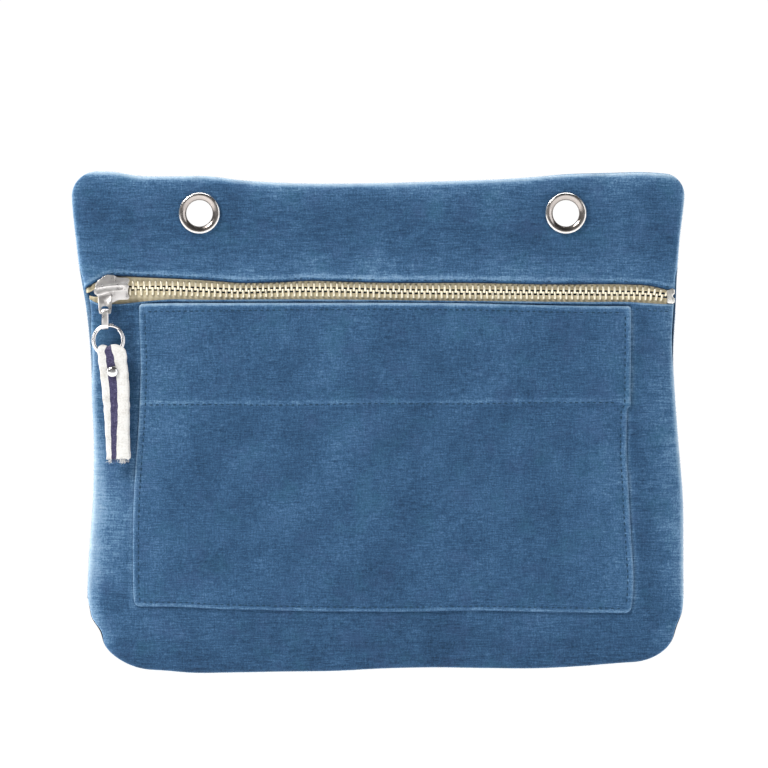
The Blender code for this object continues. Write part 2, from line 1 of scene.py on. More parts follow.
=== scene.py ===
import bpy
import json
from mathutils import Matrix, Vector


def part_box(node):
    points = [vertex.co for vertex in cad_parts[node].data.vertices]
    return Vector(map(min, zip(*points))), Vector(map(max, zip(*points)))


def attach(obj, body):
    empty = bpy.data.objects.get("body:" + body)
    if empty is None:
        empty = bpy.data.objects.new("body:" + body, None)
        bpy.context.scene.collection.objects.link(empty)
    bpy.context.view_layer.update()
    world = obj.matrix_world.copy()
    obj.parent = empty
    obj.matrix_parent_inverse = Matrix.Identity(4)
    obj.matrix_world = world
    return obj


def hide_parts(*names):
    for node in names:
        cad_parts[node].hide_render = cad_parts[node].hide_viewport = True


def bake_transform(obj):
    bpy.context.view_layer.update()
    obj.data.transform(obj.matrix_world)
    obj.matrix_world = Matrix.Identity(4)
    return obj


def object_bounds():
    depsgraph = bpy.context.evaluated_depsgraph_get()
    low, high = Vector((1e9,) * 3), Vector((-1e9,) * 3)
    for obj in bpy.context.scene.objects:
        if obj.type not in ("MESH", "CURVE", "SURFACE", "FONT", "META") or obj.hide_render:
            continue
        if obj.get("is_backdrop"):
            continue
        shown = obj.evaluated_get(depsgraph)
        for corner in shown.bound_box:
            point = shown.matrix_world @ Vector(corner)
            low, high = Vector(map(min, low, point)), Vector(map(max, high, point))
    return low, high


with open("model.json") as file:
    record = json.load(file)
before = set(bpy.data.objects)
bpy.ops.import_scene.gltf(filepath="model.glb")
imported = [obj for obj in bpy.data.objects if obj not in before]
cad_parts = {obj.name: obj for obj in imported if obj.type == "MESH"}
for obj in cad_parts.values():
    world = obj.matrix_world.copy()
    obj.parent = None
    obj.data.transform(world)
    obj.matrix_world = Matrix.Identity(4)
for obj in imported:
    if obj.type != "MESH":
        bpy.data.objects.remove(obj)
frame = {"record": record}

import functools
import json
import math

import bmesh
import bpy
import numpy as np
from mathutils import Vector

MM = 0.001  # lengths below are in mm; new_object scales them
CAD_LO, CAD_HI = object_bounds()
JOINTS = {j["name"]: j for j in frame["record"]["behaviour"]["joints"]}
rng = np.random.default_rng(7)


def pivot_mm(joint):
    return [v / MM for v in JOINTS[joint]["pos_m"]]


def box_mm(node):
    """Low corner, high corner and centre of a CAD node's box."""
    lo, hi = (np.array(v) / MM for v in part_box(node))
    return lo, hi, (lo + hi) / 2


HINGE = pivot_mm("zip_upper_open")
SLIDE = JOINTS["slider_slide"]["axis"]
SLOPE = SLIDE[2] / SLIDE[0]  # rise of the zipper per mm to the right


# ---- helpers
def curve(xs, ys, x):
    """Smooth curve through stations, for arrays."""
    xs, ys = np.asarray(xs, float), np.asarray(ys, float)
    if xs[0] > xs[-1]:
        xs, ys = xs[::-1], ys[::-1]
    m = np.gradient(ys, xs)
    x = np.clip(x, xs[0], xs[-1])
    i = np.clip(np.searchsorted(xs, x, side="right") - 1, 0, len(xs) - 2)
    h = xs[i + 1] - xs[i]
    t = (x - xs[i]) / h
    return ((2 * t**3 - 3 * t**2 + 1) * ys[i] + (t**3 - 2 * t**2 + t) * h * m[i]
            + (3 * t**2 - 2 * t**3) * ys[i + 1] + (t**3 - t**2) * h * m[i + 1])


def drawn(xs, ys):
    """An edge as a function: the smooth curve through its stations."""
    return lambda v: curve(xs, ys, v)


def ease(a, b, v):
    """Smooth step: 0 at a, 1 at b, which may be the lower of the two."""
    t = np.clip((v - a) / (b - a), 0, 1)
    return t * t * (3 - 2 * t)


def roll(d, w):
    """Quarter round: 0 on the edge, 1 from w inwards."""
    t = np.clip(d / w, 0, 1)
    return np.sqrt(np.maximum(0, 1 - (1 - t) ** 2))


def bell(d, w):
    return np.exp(-((d / w) ** 2))


def corner(r, h):
    """How far a corner of radius r cuts in at height h."""
    h = np.clip(h, 0, r)
    return r - np.sqrt(np.maximum(0, r * r - (r - h) ** 2))


def nearest(*d):
    return functools.reduce(np.minimum, d)


def unit(v):
    return v / np.maximum(np.linalg.norm(v, axis=-1, keepdims=True), 1e-9)


def turn(k):
    """k angles round a circle."""
    return np.linspace(0, 2 * math.pi, k, endpoint=False)


def waves(x, z, seed, lengths, amp):
    """Smooth unevenness: a few sine waves of random direction."""
    g = np.random.default_rng(seed)
    out = 0
    for ln in lengths:
        for _ in range(3):
            a, p = g.uniform(0, math.pi), g.uniform(0, 2 * math.pi)
            k = 2 * math.pi / (ln * g.uniform(0.8, 1.25))
            out = out + np.sin(k * (x * math.cos(a) + z * math.sin(a)) + p)
    return out * amp / (1.7 * math.sqrt(len(lengths)))


def graded(total, n, edge=(0, 0.05, 0.16, 0.34, 0.6, 0.95, 1.4, 2.0, 2.8, 3.8, 5.0)):
    """Distances 0..total that crowd at both ends; total may be an array."""
    e = np.array(edge, float)
    total = np.asarray(total, float)[..., None]
    mid = np.linspace(0, 1, n + 2)[1:-1]
    a = np.broadcast_to(e, total.shape[:-1] + e.shape)
    return np.concatenate([a, e[-1] + (total - 2 * e[-1]) * mid, total - a[..., ::-1]], -1)


def new_object(name, verts, faces, mats, smooth=True, face_mats=None):
    me = bpy.data.meshes.new(name)
    me.from_pydata((np.asarray(verts, float) * MM).tolist(), [], faces)
    for m in mats:
        me.materials.append(m)
    if face_mats is not None:
        me.polygons.foreach_set("material_index", np.asarray(face_mats, np.int32))
    me.polygons.foreach_set("use_smooth", [smooth] * len(me.polygons))
    me.update()
    ob = bpy.data.objects.new(name, me)
    bpy.context.scene.collection.objects.link(ob)
    return ob


def outward(ob):
    bm = bmesh.new()
    bm.from_mesh(ob.data)
    bmesh.ops.recalc_face_normals(bm, faces=bm.faces)
    bm.to_mesh(ob.data)
    bm.free()
    return ob


def points_mm(ob):
    co = np.zeros(len(ob.data.vertices) * 3, np.float32)
    ob.data.vertices.foreach_get("co", co)
    return co.reshape(-1, 3).astype(float) / MM


def move_points(ob, co):
    ob.data.vertices.foreach_set("co", (co * MM).astype(np.float32).ravel())
    ob.data.update()


def ring_faces(n, k, loop=False):
    """Quads between n rings of k points; the rings close into a loop, or the end ones are capped."""
    faces = [[i * k + q, i * k + (q + 1) % k, (i + 1) % n * k + (q + 1) % k, (i + 1) % n * k + q]
             for i in range(n if loop else n - 1) for q in range(k)]
    return faces if loop else faces + [list(range(k)), [n * k - 1 - q for q in range(k)]]


def loft(name, rings, mat, loop=False, smooth=True):
    V = np.asarray(rings, float)
    return outward(new_object(name, V.reshape(-1, 3), ring_faces(len(V), V.shape[1], loop), [mat], smooth))


def two_faced(name, front, back, mats, face_mats=None):
    """Closed cloth from a front and a back grid of points that share their border."""
    nr, nc = front.shape[:2]
    idx = np.arange(nr * nc).reshape(nr, nc)
    rear = idx.copy()
    rear[1:-1, 1:-1] = np.arange((nr - 2) * (nc - 2)).reshape(nr - 2, nc - 2) + nr * nc
    V = np.concatenate([front.reshape(-1, 3), back[1:-1, 1:-1].reshape(-1, 3)])
    F = [np.stack([g[:-1, :-1], g[:-1, 1:], g[1:, 1:], g[1:, :-1]], -1)[..., way].reshape(-1, 4)
         for g, way in ((idx, [0, 1, 2, 3]), (rear, [0, 3, 2, 1]))]
    return new_object(name, V, np.concatenate(F).tolist(), mats, face_mats=face_mats)


def skin(name, X, Z, YF, YB, mat):
    return two_faced(name, np.stack([X, YF, Z], -1), np.stack([X, YB, Z], -1), [mat])


def grains(name, P, T, length, radius, mat):
    """Many small thread stitches in one mesh: P centres, T unit directions along the seam."""
    shape = ((-1.0, 0.0, -0.55), (-0.86, 0.62, -0.2), (-0.45, 1.0, 0.12), (0.0, 1.05, 0.2),
             (0.45, 1.0, 0.12), (0.86, 0.62, -0.2), (1.0, 0.0, -0.55))  # along, thickness, lift
    k, flat = 8, 0.6
    up = np.broadcast_to((0.0, -1.0, 0.0), P.shape)
    S = unit(np.cross(T, up))
    block = []
    for a, r, lift in shape:
        ang = turn(k)[:k if r else 1]
        block.append((P + T * (a * length / 2) + up * (lift * radius))[:, None]
                     + S[:, None] * (np.cos(ang) * r * radius)[:, None]
                     + up[:, None] * (np.sin(ang) * r * radius * flat)[:, None])
    block = np.concatenate(block, 1)
    per = block.shape[1]
    one = [[1 + v for v in f] for f in ring_faces(len(shape) - 2, k)[:-2]]
    for j in range(k):
        m = (j + 1) % k
        one += [[0, 1 + j, 1 + m], [per - 1 - k + j, per - 1, per - 1 - k + m]]
    faces = [[v + q * per for v in f] for q in range(len(P)) for f in one]
    return outward(new_object(name, block.reshape(-1, 3), faces, [mat]))


def along(line, pitch, start=0.6):
    """Even places on a polyline of (x, z), with directions."""
    s = np.concatenate([[0], np.cumsum(np.linalg.norm(np.diff(line, axis=0), axis=1))])
    at = np.arange(start * pitch, s[-1] - 0.3 * pitch, pitch)
    at = at + rng.normal(0, pitch * 0.04, len(at))
    p, q = (np.stack([np.interp(v, s, line[:, k]) for k in (0, 1)], 1) for v in (at, at + 0.3))
    return p[:, 0], p[:, 1], unit(q - p)


def lathe(name, prof, centre, seg, mat, closed=True):
    """Turn (radius, y) about an axis along Y."""
    r, y = np.array(prof, float).T[..., None]
    a = turn(seg)
    return loft(name, np.stack([centre[0] + r * np.cos(a), y + 0 * a, centre[2] + r * np.sin(a)], -1), mat, closed)


def smooth_profile(pts, n, closed=True):
    """Round a polygon of control points by repeated corner cutting."""
    p = np.array(pts, float)
    for _ in range(n):
        q = np.roll(p, -1, 0)
        a, b = 0.75 * p + 0.25 * q, 0.25 * p + 0.75 * q
        if closed:
            p = np.stack([a, b], 1).reshape(-1, 2)
        else:
            mid = np.stack([a[:-1], b[:-1]], 1).reshape(-1, 2)
            p = np.concatenate([p[:1], mid[1:-1], p[-1:]])
    return p


def tube(name, path, radius, mat, k, flat=(1.0, 1.0), up=(0, -1, 0)):
    """Tube of one radius, or of one for each point, along points."""
    P = np.asarray(path, float)
    T = unit(np.gradient(P, axis=0))
    S = unit(np.cross(T, np.broadcast_to(np.asarray(up, float), P.shape)))
    N = np.cross(S, T)
    r = np.broadcast_to(np.asarray(radius, float), (len(P),))[:, None, None]
    a = turn(k)[:, None]
    return loft(name, P[:, None] + S[:, None] * np.cos(a) * r * flat[0] + N[:, None] * np.sin(a) * r * flat[1], mat)


def prism(name, outline, y0, y1, mat):
    return loft(name, [[(x, y, z) for x, z in outline] for y in (y0, y1)], mat, smooth=False)


def rect(x0, x1, z0, z1):
    return [(x0, z0), (x1, z0), (x1, z1), (x0, z1)]


def bake(ob):
    """Apply the modifiers; a piece of one material keeps just that one."""
    old = ob.data
    me = bpy.data.meshes.new_from_object(ob.evaluated_get(bpy.context.evaluated_depsgraph_get()))
    ob.modifiers.clear()
    ob.data = me
    if len(old.materials) == 1:
        me.materials.clear()
        me.materials.append(old.materials[0])
        me.polygons.foreach_set("material_index", [0] * len(me.polygons))
    bpy.data.meshes.remove(old)


def cut(ob, tool):
    m = ob.modifiers.new("cut", "BOOLEAN")
    m.operation, m.solver, m.object = "DIFFERENCE", "EXACT", tool
    bake(ob)
    bpy.data.objects.remove(tool)


def sharpen(ob, deg=40):
    """Smooth shading that keeps flat faces flat: edges over the angle are marked sharp."""
    ob.data.polygons.foreach_set("use_smooth", [True] * len(ob.data.polygons))
    bm = bmesh.new()
    bm.from_mesh(ob.data)
    for e in bm.edges:
        if len(e.link_faces) == 2 and e.calc_face_angle(0) > math.radians(deg):
            e.smooth = False
    bm.to_mesh(ob.data)
    bm.free()
    return ob


def slab(name, outline, y0, y1, mat, bevel, segs, cuts=()):
    """Plate in the x-z plane with rounded edges; cuts are plates taken out before rounding."""
    ob = prism(name, outline, y0, y1, mat)
    for plate in cuts:
        cut(ob, prism(name + "_tool", *plate, mat))
    m = ob.modifiers.new("round", "BEVEL")
    m.width, m.segments, m.limit_method = bevel * MM, segs, "ANGLE"
    m.angle_limit = math.radians(35)
    bake(ob)
    return sharpen(ob)


def join(name, objs):
    """One mesh of several; sharp edges are lost and marked again by sharpen."""
    verts, faces, looks, mats = [], [], [], []
    for o in objs:
        me, base = o.data, len(verts)
        verts += [tuple(v.co / MM) for v in me.vertices]
        mats += [m for m in me.materials if m not in mats]
        for p in me.polygons:
            faces.append([base + i for i in p.vertices])
            looks.append(mats.index(me.materials[p.material_index]))
        bpy.data.objects.remove(o)
        bpy.data.meshes.remove(me)
    return new_object(name, verts, faces, mats, face_mats=looks)


def stands_for(ob, node, body=None):
    """The piece is the look of a CAD node, whose own mesh is hidden; with a body it is parented to that body's empty.
    """
    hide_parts(node)
    if body:
        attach(ob, body)
    return ob


# ---- materials
class Nodes:
    """Small helper to wire the nodes of a material, or of the world."""

    def __init__(self, name, world=False):
        self.m = (bpy.data.worlds if world else bpy.data.materials).new(name)
        self.m.use_nodes = True
        self.t = self.m.node_tree
        self.p = self.t.nodes["Background" if world else "Principled BSDF"]
        self.co = self.add("ShaderNodeTexCoord")

    def add(self, kind, **kw):
        n = self.t.nodes.new(kind)
        for k, v in kw.items():
            setattr(n, k, v)
        return n

    def link(self, a, b):
        self.t.links.new(a, b)

    def put(self, sock, v):
        """A socket's value: a number, a colour, or a link from another socket."""
        if isinstance(v, (int, float)):
            sock.default_value = v
        elif isinstance(v, tuple):
            sock.default_value = (*v, 1.0)
        else:
            self.link(v, sock)

    def place(self, scale, vec=None):
        m = self.add("ShaderNodeMapping")
        m.inputs["Scale"].default_value = scale
        self.link(vec or self.co.outputs["Object"], m.inputs["Vector"])
        return m.outputs[0]

    def texture(self, n, vec, **kw):
        for k, v in kw.items():
            n.inputs[k.replace("_", " ")].default_value = v
        self.link(vec or self.co.outputs["Object"], n.inputs["Vector"])
        return n

    def noise(self, scale, detail=3.0, rough=0.6, vec=None, dist=0.0, out="Fac"):
        return self.texture(self.add("ShaderNodeTexNoise"), vec, Scale=scale, Detail=detail,
                            Roughness=rough, Distortion=dist).outputs[out]

    def wave(self, way, scale, dist, detail, detail_scale):
        n = self.add("ShaderNodeTexWave", wave_type="BANDS", bands_direction=way)
        return self.texture(n, None, Scale=scale, Distortion=dist, Detail=detail,
                            Detail_Scale=detail_scale).outputs["Fac"]

    def math(self, op, a, b):
        n = self.add("ShaderNodeMath", operation=op)
        self.put(n.inputs[0], a)
        self.put(n.inputs[1], b)
        return n.outputs[0]

    def total(self, *terms):
        """Weighted sum of (socket, weight) pairs."""
        parts = [self.math("MULTIPLY", s, w) for s, w in terms]
        return functools.reduce(lambda a, b: self.math("ADD", a, b), parts)

    def ramp(self, fac, stops):
        n = self.add("ShaderNodeValToRGB")
        e = n.color_ramp.elements
        e.remove(e[-1])
        for i, (pos, col) in enumerate(stops):
            el = e[0] if i == 0 else e.new(pos)
            el.position, el.color = pos, (*col, 1.0)
        self.link(fac, n.inputs[0])
        return n.outputs[0]

    def mix(self, fac, a, b):
        n = self.add("ShaderNodeMix", data_type="RGBA")
        for i, v in ((0, fac), (6, a), (7, b)):
            self.put(n.inputs[i], v)
        return n.outputs[2]

    def span(self, v, a, b, c, d):
        n = self.add("ShaderNodeMapRange")
        for i, q in zip((1, 2, 3, 4), (a, b, c, d)):
            n.inputs[i].default_value = q
        self.link(v, n.inputs[0])
        return n.outputs[0]

    def bump(self, h, strength, dist, under=None):
        n = self.add("ShaderNodeBump")
        n.inputs["Strength"].default_value = strength
        n.inputs["Distance"].default_value = dist
        self.link(h, n.inputs["Height"])
        if under:
            self.link(under, n.inputs["Normal"])
        return n.outputs[0]

    def set(self, **kw):
        for k, v in kw.items():
            self.put(self.p.inputs[k.replace("_", " ")], v)
        return self.m


def velvet(name, tone):
    """Cotton velvet: a plain ground weave under a short, uneven pile; painted light and shade from a point attribute
    are added to its tone.
    """
    n = Nodes(name)
    wander = n.add("ShaderNodeVectorMath", operation="MULTIPLY_ADD")
    n.link(n.noise(90.0, 1.0, 0.5, out="Color"), wander.inputs[0])
    wander.inputs[1].default_value = (0.0011,) * 3
    n.link(n.co.outputs["Object"], wander.inputs[2])
    w = wander.outputs[0]
    weft = n.noise(1.0, 3.0, 0.62, n.place((170, 170, 1900), w))
    warp = n.noise(1.0, 2.0, vec=n.place((1700, 400, 260), w))
    thread = n.total((weft, 0.68), (warp, 0.32))
    mottle, patch = n.noise(1450.0, 3.0, 0.66), n.noise(60.0, 4.0, 0.62, dist=0.5)
    shade = n.total((thread, 0.46), (mottle, 0.34), (patch, 0.14), (n.noise(14.0, 1.0, 0.5), 0.06))
    # The point attribute holds painted light and shade: lighter rims where light catches the pile, darker gaps where
    # shade falls. The ramp's top stops give these painted highlights.
    lean = n.add("ShaderNodeAttribute", attribute_name="painted_shading").outputs["Fac"]
    shade = n.math("MULTIPLY", n.math("ADD", n.span(shade, 0.38, 0.62, 0.22, 0.78), lean), 0.6)
    shades = ((0.0, 0.007, 0.020, 0.044), (0.13, 0.017, 0.050, 0.112), (0.24, 0.031, 0.090, 0.192),
              (0.324, 0.045, 0.122, 0.250), (0.408, 0.074, 0.178, 0.340), (0.54, 0.190, 0.350, 0.560),
              (0.75, 0.38, 0.56, 0.76), (1.0, 0.62, 0.80, 0.96))
    t = tone * 0.53
    col = n.ramp(shade, [(at, (r * t, g * t, b * t)) for at, r, g, b in shades])
    for scale, lo, hi, tint in ((85.0, 0.52, 0.74, (0.032, 0.060, 0.135)), (64.0, 0.54, 0.76, (0.020, 0.080, 0.125))):
        col = n.mix(n.span(n.noise(scale), lo, hi, 0.0, 0.30), col, tint)
    col = n.mix(n.span(n.noise(1900.0, 1.0, 0.5), 0.66, 0.80, 0.0, 0.30), col, (0.10, 0.18, 0.27))
    height = n.total((thread, 0.7), (mottle, 0.5))
    return n.set(Base_Color=col, Roughness=0.92, Specular_IOR_Level=0.12,
                 Normal=n.bump(height, 0.55, 0.00035, n.bump(patch, 0.35, 0.0012)),
                 Sheen_Weight=n.span(mottle, 0.3, 0.7, 0.30, 0.75), Sheen_Roughness=0.40, Sheen_Tint=(0.42, 0.68, 1.0))


def metal(name, color, rough, scratch, dirt=None):
    n = Nodes(name)
    fine = n.noise(1.0, 2.0, vec=n.place((700, 700, 3600)))
    cloud = n.noise(420.0)
    base = n.mix(n.span(cloud, 0.35, 0.65, 0.0, 1.0), tuple(c * 0.93 for c in color), color)
    if dirt:
        base = n.mix(n.span(n.noise(900.0), 0.55, 0.72, 0.0, 0.5), base, dirt)
    return n.set(Base_Color=base, Metallic=1.0, Roughness=n.span(cloud, 0.3, 0.7, rough * 0.75, rough * 1.35),
                 Normal=n.bump(fine, scratch * 0.25, 0.00003))


def rolled_metal(name, at, inner, outer):
    """Plated eyelet, with painted shade in the roll around its hole and a painted highlight along the outer rim."""
    n = Nodes(name)
    xyz = n.add("ShaderNodeSeparateXYZ")
    n.link(n.co.outputs["Object"], xyz.inputs[0])
    dx, z = n.math("SUBTRACT", n.math("ABSOLUTE", xyz.outputs["X"], 0.0), at * MM), xyz.outputs["Z"]
    r = n.math("SQRT", n.math("ADD", n.math("MULTIPLY", dx, dx), n.math("MULTIPLY", z, z)), 0.0)
    cloud = n.noise(380.0)
    # Painted shade in the roll around the hole and a painted highlight along the outer rim, ramped by distance from
    # the eyelet's centre; they stand in for reflections.
    painted_eyelet_shading = n.math("ADD", n.span(r, 0.0064, 0.0098, 0.0, 1.0), n.span(cloud, 0.35, 0.65, -0.06, 0.06))
    fine = n.noise(1.0, 2.0, vec=n.place((700, 700, 3600)))
    return n.set(Base_Color=n.ramp(painted_eyelet_shading, [(0.0, inner), (0.55, tuple(c * 1.5 for c in inner)), (0.85, outer)]),
                 Metallic=1.0, Roughness=n.span(cloud, 0.3, 0.7, 0.12, 0.24), Normal=n.bump(fine, 0.07, 0.00003))


def woven(name, color, dark, sx=1900, sz=1500, amount=0.5):
    """Flat woven tape or lining."""
    n = Nodes(name)
    weave = n.total(*((n.wave(way, s / 20.0, 1.6, 1.0, 2.0), 0.5) for way, s in (("X", sx), ("Z", sz))))
    f = n.total((weave, amount), (n.noise(300.0, 4.0, 0.6), 1.0 - amount))
    return n.set(Base_Color=n.ramp(f, [(0.25, dark), (0.75, color)]), Roughness=0.85, Specular_IOR_Level=0.2,
                 Sheen_Weight=0.2, Normal=n.bump(weave, 0.6, 0.00016))


def thread():
    n = Nodes("thread_blue")
    twist = n.noise(1.0, 2.0, 0.5, n.place((2600, 2600, 2600)))
    return n.set(Base_Color=n.mix(twist, (0.008, 0.024, 0.048), (0.022, 0.055, 0.098)), Roughness=0.9,
                 Specular_IOR_Level=0.06, Sheen_Weight=0.15, Sheen_Tint=(0.4, 0.7, 1.0),
                 Normal=n.bump(twist, 0.5, 0.00006))


def fibre():
    n = Nodes("velvet_fuzz")
    color = n.ramp(n.noise(700.0, 2.0, 0.6), [(0.3, (0.085, 0.170, 0.285)), (0.7, (0.200, 0.310, 0.440))])
    return n.set(Base_Color=color, Roughness=0.9, Specular_IOR_Level=0.1, Sheen_Weight=0.6,
                 Sheen_Tint=(0.5, 0.75, 1.0))


def white_cotton():
    n = Nodes("cotton_white")
    fluff, cloud = n.noise(1400.0), n.noise(160.0)
    color = n.ramp(n.total((cloud, 0.5), (fluff, 0.5)), [(0.32, (0.40, 0.385, 0.36)), (0.52, (0.55, 0.547, 0.535))])
    height = n.total((n.wave("Z", 210.0, 2.2, 2.0, 1.5), 0.6), (fluff, 1.0))
    return n.set(Base_Color=color, Roughness=0.95, Specular_IOR_Level=0.1, Sheen_Weight=0.35,
                 Normal=n.bump(height, 0.6, 0.00022))


def navy_cotton():
    n = Nodes("cotton_navy")
    fluff = n.noise(1300.0)
    stops = [(0.3, (0.018, 0.016, 0.045)), (0.62, (0.058, 0.052, 0.110)), (0.75, (0.13, 0.12, 0.19))]
    return n.set(Base_Color=n.ramp(fluff, stops), Roughness=0.95, Specular_IOR_Level=0.1, Sheen_Weight=0.3,
                 Normal=n.bump(fluff, 0.6, 0.0002))


def painted_shading(ob, f):
    """Painted light and shade, kept as a point attribute that the velvet material adds to its tone: lighter where
    light catches the pile, darker where shade falls.
    """
    lean = ob.data.attributes.new("painted_shading", "FLOAT", "POINT")
    lean.data.foreach_set("value", f(*points_mm(ob).T).astype(np.float32))


EYE_X = 83.75  # centre of each eyelet, either side of the middle
VELVET_F = velvet("velvet_panel", 1.0)
VELVET_Y = velvet("velvet_yoke", 1.02)
VELVET_P = velvet("velvet_pocket", 1.03)
VELVET_B = velvet("velvet_back", 0.96)
LINING = woven("lining_cloth", (0.060, 0.078, 0.115), (0.028, 0.036, 0.056))
TAPE = woven("zipper_tape", (0.56, 0.495, 0.35), (0.33, 0.285, 0.185), 2400, 2400, amount=0.35)
TEETH = metal("teeth_pale_gold", (0.80, 0.745, 0.60), 0.42, 0.2, dirt=(0.55, 0.45, 0.28))
# Its inner colour is painted shade, its outer colour a painted highlight.
CHROME = rolled_metal("eyelet_chrome", EYE_X, (0.27, 0.245, 0.23), (0.70, 0.68, 0.66))
NICKEL = metal("slider_nickel", (0.69, 0.67, 0.66), 0.34, 0.3)
BRIGHT = metal("ring_steel", (0.62, 0.61, 0.615), 0.19, 0.6)
STOP = metal("stop_alloy", (0.66, 0.65, 0.62), 0.30, 0.6)
THREAD, FUZZ, COTTON, NAVY = thread(), fibre(), white_cotton(), navy_cotton()

# ---- outline of the bag as seen from the front, mm: stations of each edge
SIDE_Z = (19, 8, -12, -30, -40, -67, -85, -104, -131, -158, -172, -210)
SIDE_L = (-142.0, -142.1, -140.2, -137.9, -136.1, -133.3, -132.8, -132.0, -132.4, -134.3, -134.9, -134.9)
SIDE_R = (138.1, 137.9, 135.7, 134.5, 134.1, 132.8, 133.7, 135.1, 137.2, 137.4, 137.5, 137.4)
TOP_X = (-142, -122, -113, -96, -79, -66, -45, -22, 0, 20, 35, 52, 70, 80, 104, 120, 129, 138)
TOP_Z = (19.0, 18.8, 17.3, 16.9, 16.9, 15.3, 13.9, 13.6, 13.9, 14.4, 14.9, 15.5, 16.7, 17.5, 18.3, 18.6, 18.0, 16.8)
BOT_X = (-136, -118, -100, -88, -68, -45, -22, 0, 23, 47, 70, 92, 104, 116, 138)
BOT_Z = (-207.6, -208.3, -209.0, -210.0, -209.9, -209.5, -209.2, -208.1, -207.6, -207.9, -208.0,
         -206.9, -205.9, -205.1, -204.6)
# the cloth's upper and lower edge along the zipper
LIP_UX = (-137.6, -135.4, -131.5, -125.7, -118, -109.5, -90.7, -78, -66.1, -48.3, -34.1, -16, 0.6, 38.5, 76, 113.9,
          119.7, 123.8, 127.9, 130.0, 135.0)
LIP_UZ = (-35.6, -34.2, -31.9, -29.3, -29.0, -29.4, -30.2, -31.0, -31.9, -31.7, -31.0, -31.5, -31.9, -31.95, -32.65,
          -32.75, -33.05, -33.65, -34.6, -35.1, -35.3)
LIP_LX = (-137.6, -135.6, -134.0, -132.2, -129.5, -120.9, -109.5, -98.5, -81.2, -66.1, -43.7, -20, 0.6, 57.3, 95.2,
          113, 123, 129.9, 134)
LIP_LZ = (-36.0, -36.8, -38.9, -40.2, -41.2, -41.4, -40.3, -39.4, -39.5, -39.4, -39.3, -39.4, -39.6, -40.2, -40.5,
          -40.5, -41.2, -41.5, -41.5)
# how far the zipper wanders off its straight line
WAVE_X = (-131, -112, -100, -82, -66, -47, -28, 0, 60, 100, 120, 126, 133)
WAVE_Z = (0.0, 0.35, 0.45, 0.0, -0.45, 0.2, 0.5, 0.1, 0.1, 0.15, 0.0, -0.35, -1.2)
# the pocket's top and bottom edge
HEM_X = (-113, -106, -70, -33, 22, 40, 58, 76, 95, 113)
HEM_Z = (-41.4, -41.2, -41.0, -40.95, -41.0, -41.2, -41.65, -42.1, -42.35, -42.4)
LOW_X = (-113, -92, -74, -56, -38, -10, 17, 40, 72, 90, 114)
LOW_Z = (-179.6, -179.85, -180.75, -181.2, -181.65, -182.0, -181.9, -181.5, -182.0, -182.35, -182.6)
P_LEFT, P_RIGHT = -112.6, 113.5  # about where the pocket's sides are

side_l, side_r = drawn(SIDE_Z, SIDE_L), drawn(SIDE_Z, SIDE_R)
top, bottom = drawn(TOP_X, TOP_Z), drawn(BOT_X, BOT_Z)
lip_u, lip_l = drawn(LIP_UX, LIP_UZ), drawn(LIP_LX, LIP_LZ)
pocket_top, pocket_bottom = drawn(HEM_X, HEM_Z), drawn(LOW_X, LOW_Z)
pocket_left = drawn((-40, -53, -67, -80, -92, -111, -123, -136, -160, -172, -182),
                    (-111.3, -111.0, -110.5, -110.7, -111.2, -112.5, -113.3, -113.9, -114.1, -113.9, -113.1))
pocket_side = drawn((-40, -76, -88, -100, -111, -124, -140, -154, -165, -175, -183),
                    (112.0, 111.8, 111.7, 111.4, 111.4, 112.2, 113.0, 113.9, 114.6, 114.3, 113.2))


def pocket_right(z):
    return pocket_side(z) + 1.5 * ease(-89.6, -87.6, z)


def zip_line(x):
    """The straight line that the slider runs on."""
    return HINGE[2] + SLOPE * (x - HINGE[0])


def chain(x):
    """The zipper's middle line: the sliding line, a little wavy as sewn."""
    return zip_line(x) + curve(WAVE_X, WAVE_Z, x)


def top_inset(x):
    """How far the pocket's top stitching sits below its edge."""
    return 3.0 + 0.8 * ease(-10, -100, x)


def hem_line(x):
    return -87.0 + 0.0065 * x + waves(x, 0 * x, 31, (70,), 0.25)


def pocket_dist(x, z):
    return x - pocket_left(z), pocket_right(z) - x, z - pocket_bottom(x), pocket_top(x) - z


# ---- depths of the cloth, mm
HALF = 0.62       # half the thickness of the velvet
SEAM_Y = -0.95    # depth of the front's outer seam
PUCKER = 5.4      # length of the ripples along a seam


def off_eyelets(x, z):
    """0 under an eyelet's flange, 1 away from it."""
    return 1 - ease(13.5, 10.5, np.hypot(np.abs(x) - EYE_X, z))


def yoke_y(x, z):
    """Front surface of the band, away from its edges."""
    d = z - lip_u(x)
    flat = off_eyelets(x, z) * ease(-0.2, 9, d)
    bump = (waves(x, z, 3, (150, 70, 34), 0.42) + waves(x, z, 4, (14, 8), 0.05)) * flat
    pucker = 0.10 * np.sin(x * 2 * math.pi / PUCKER) * bell(d - 3.2, 2.0)
    return (-3.05 - 1.75 * ease(-12.5, -24, z) + bump + 0.25 * bell(d - 1.45, 0.6) + pucker
            - 0.28 * bell(d - 2.9, 1.0))


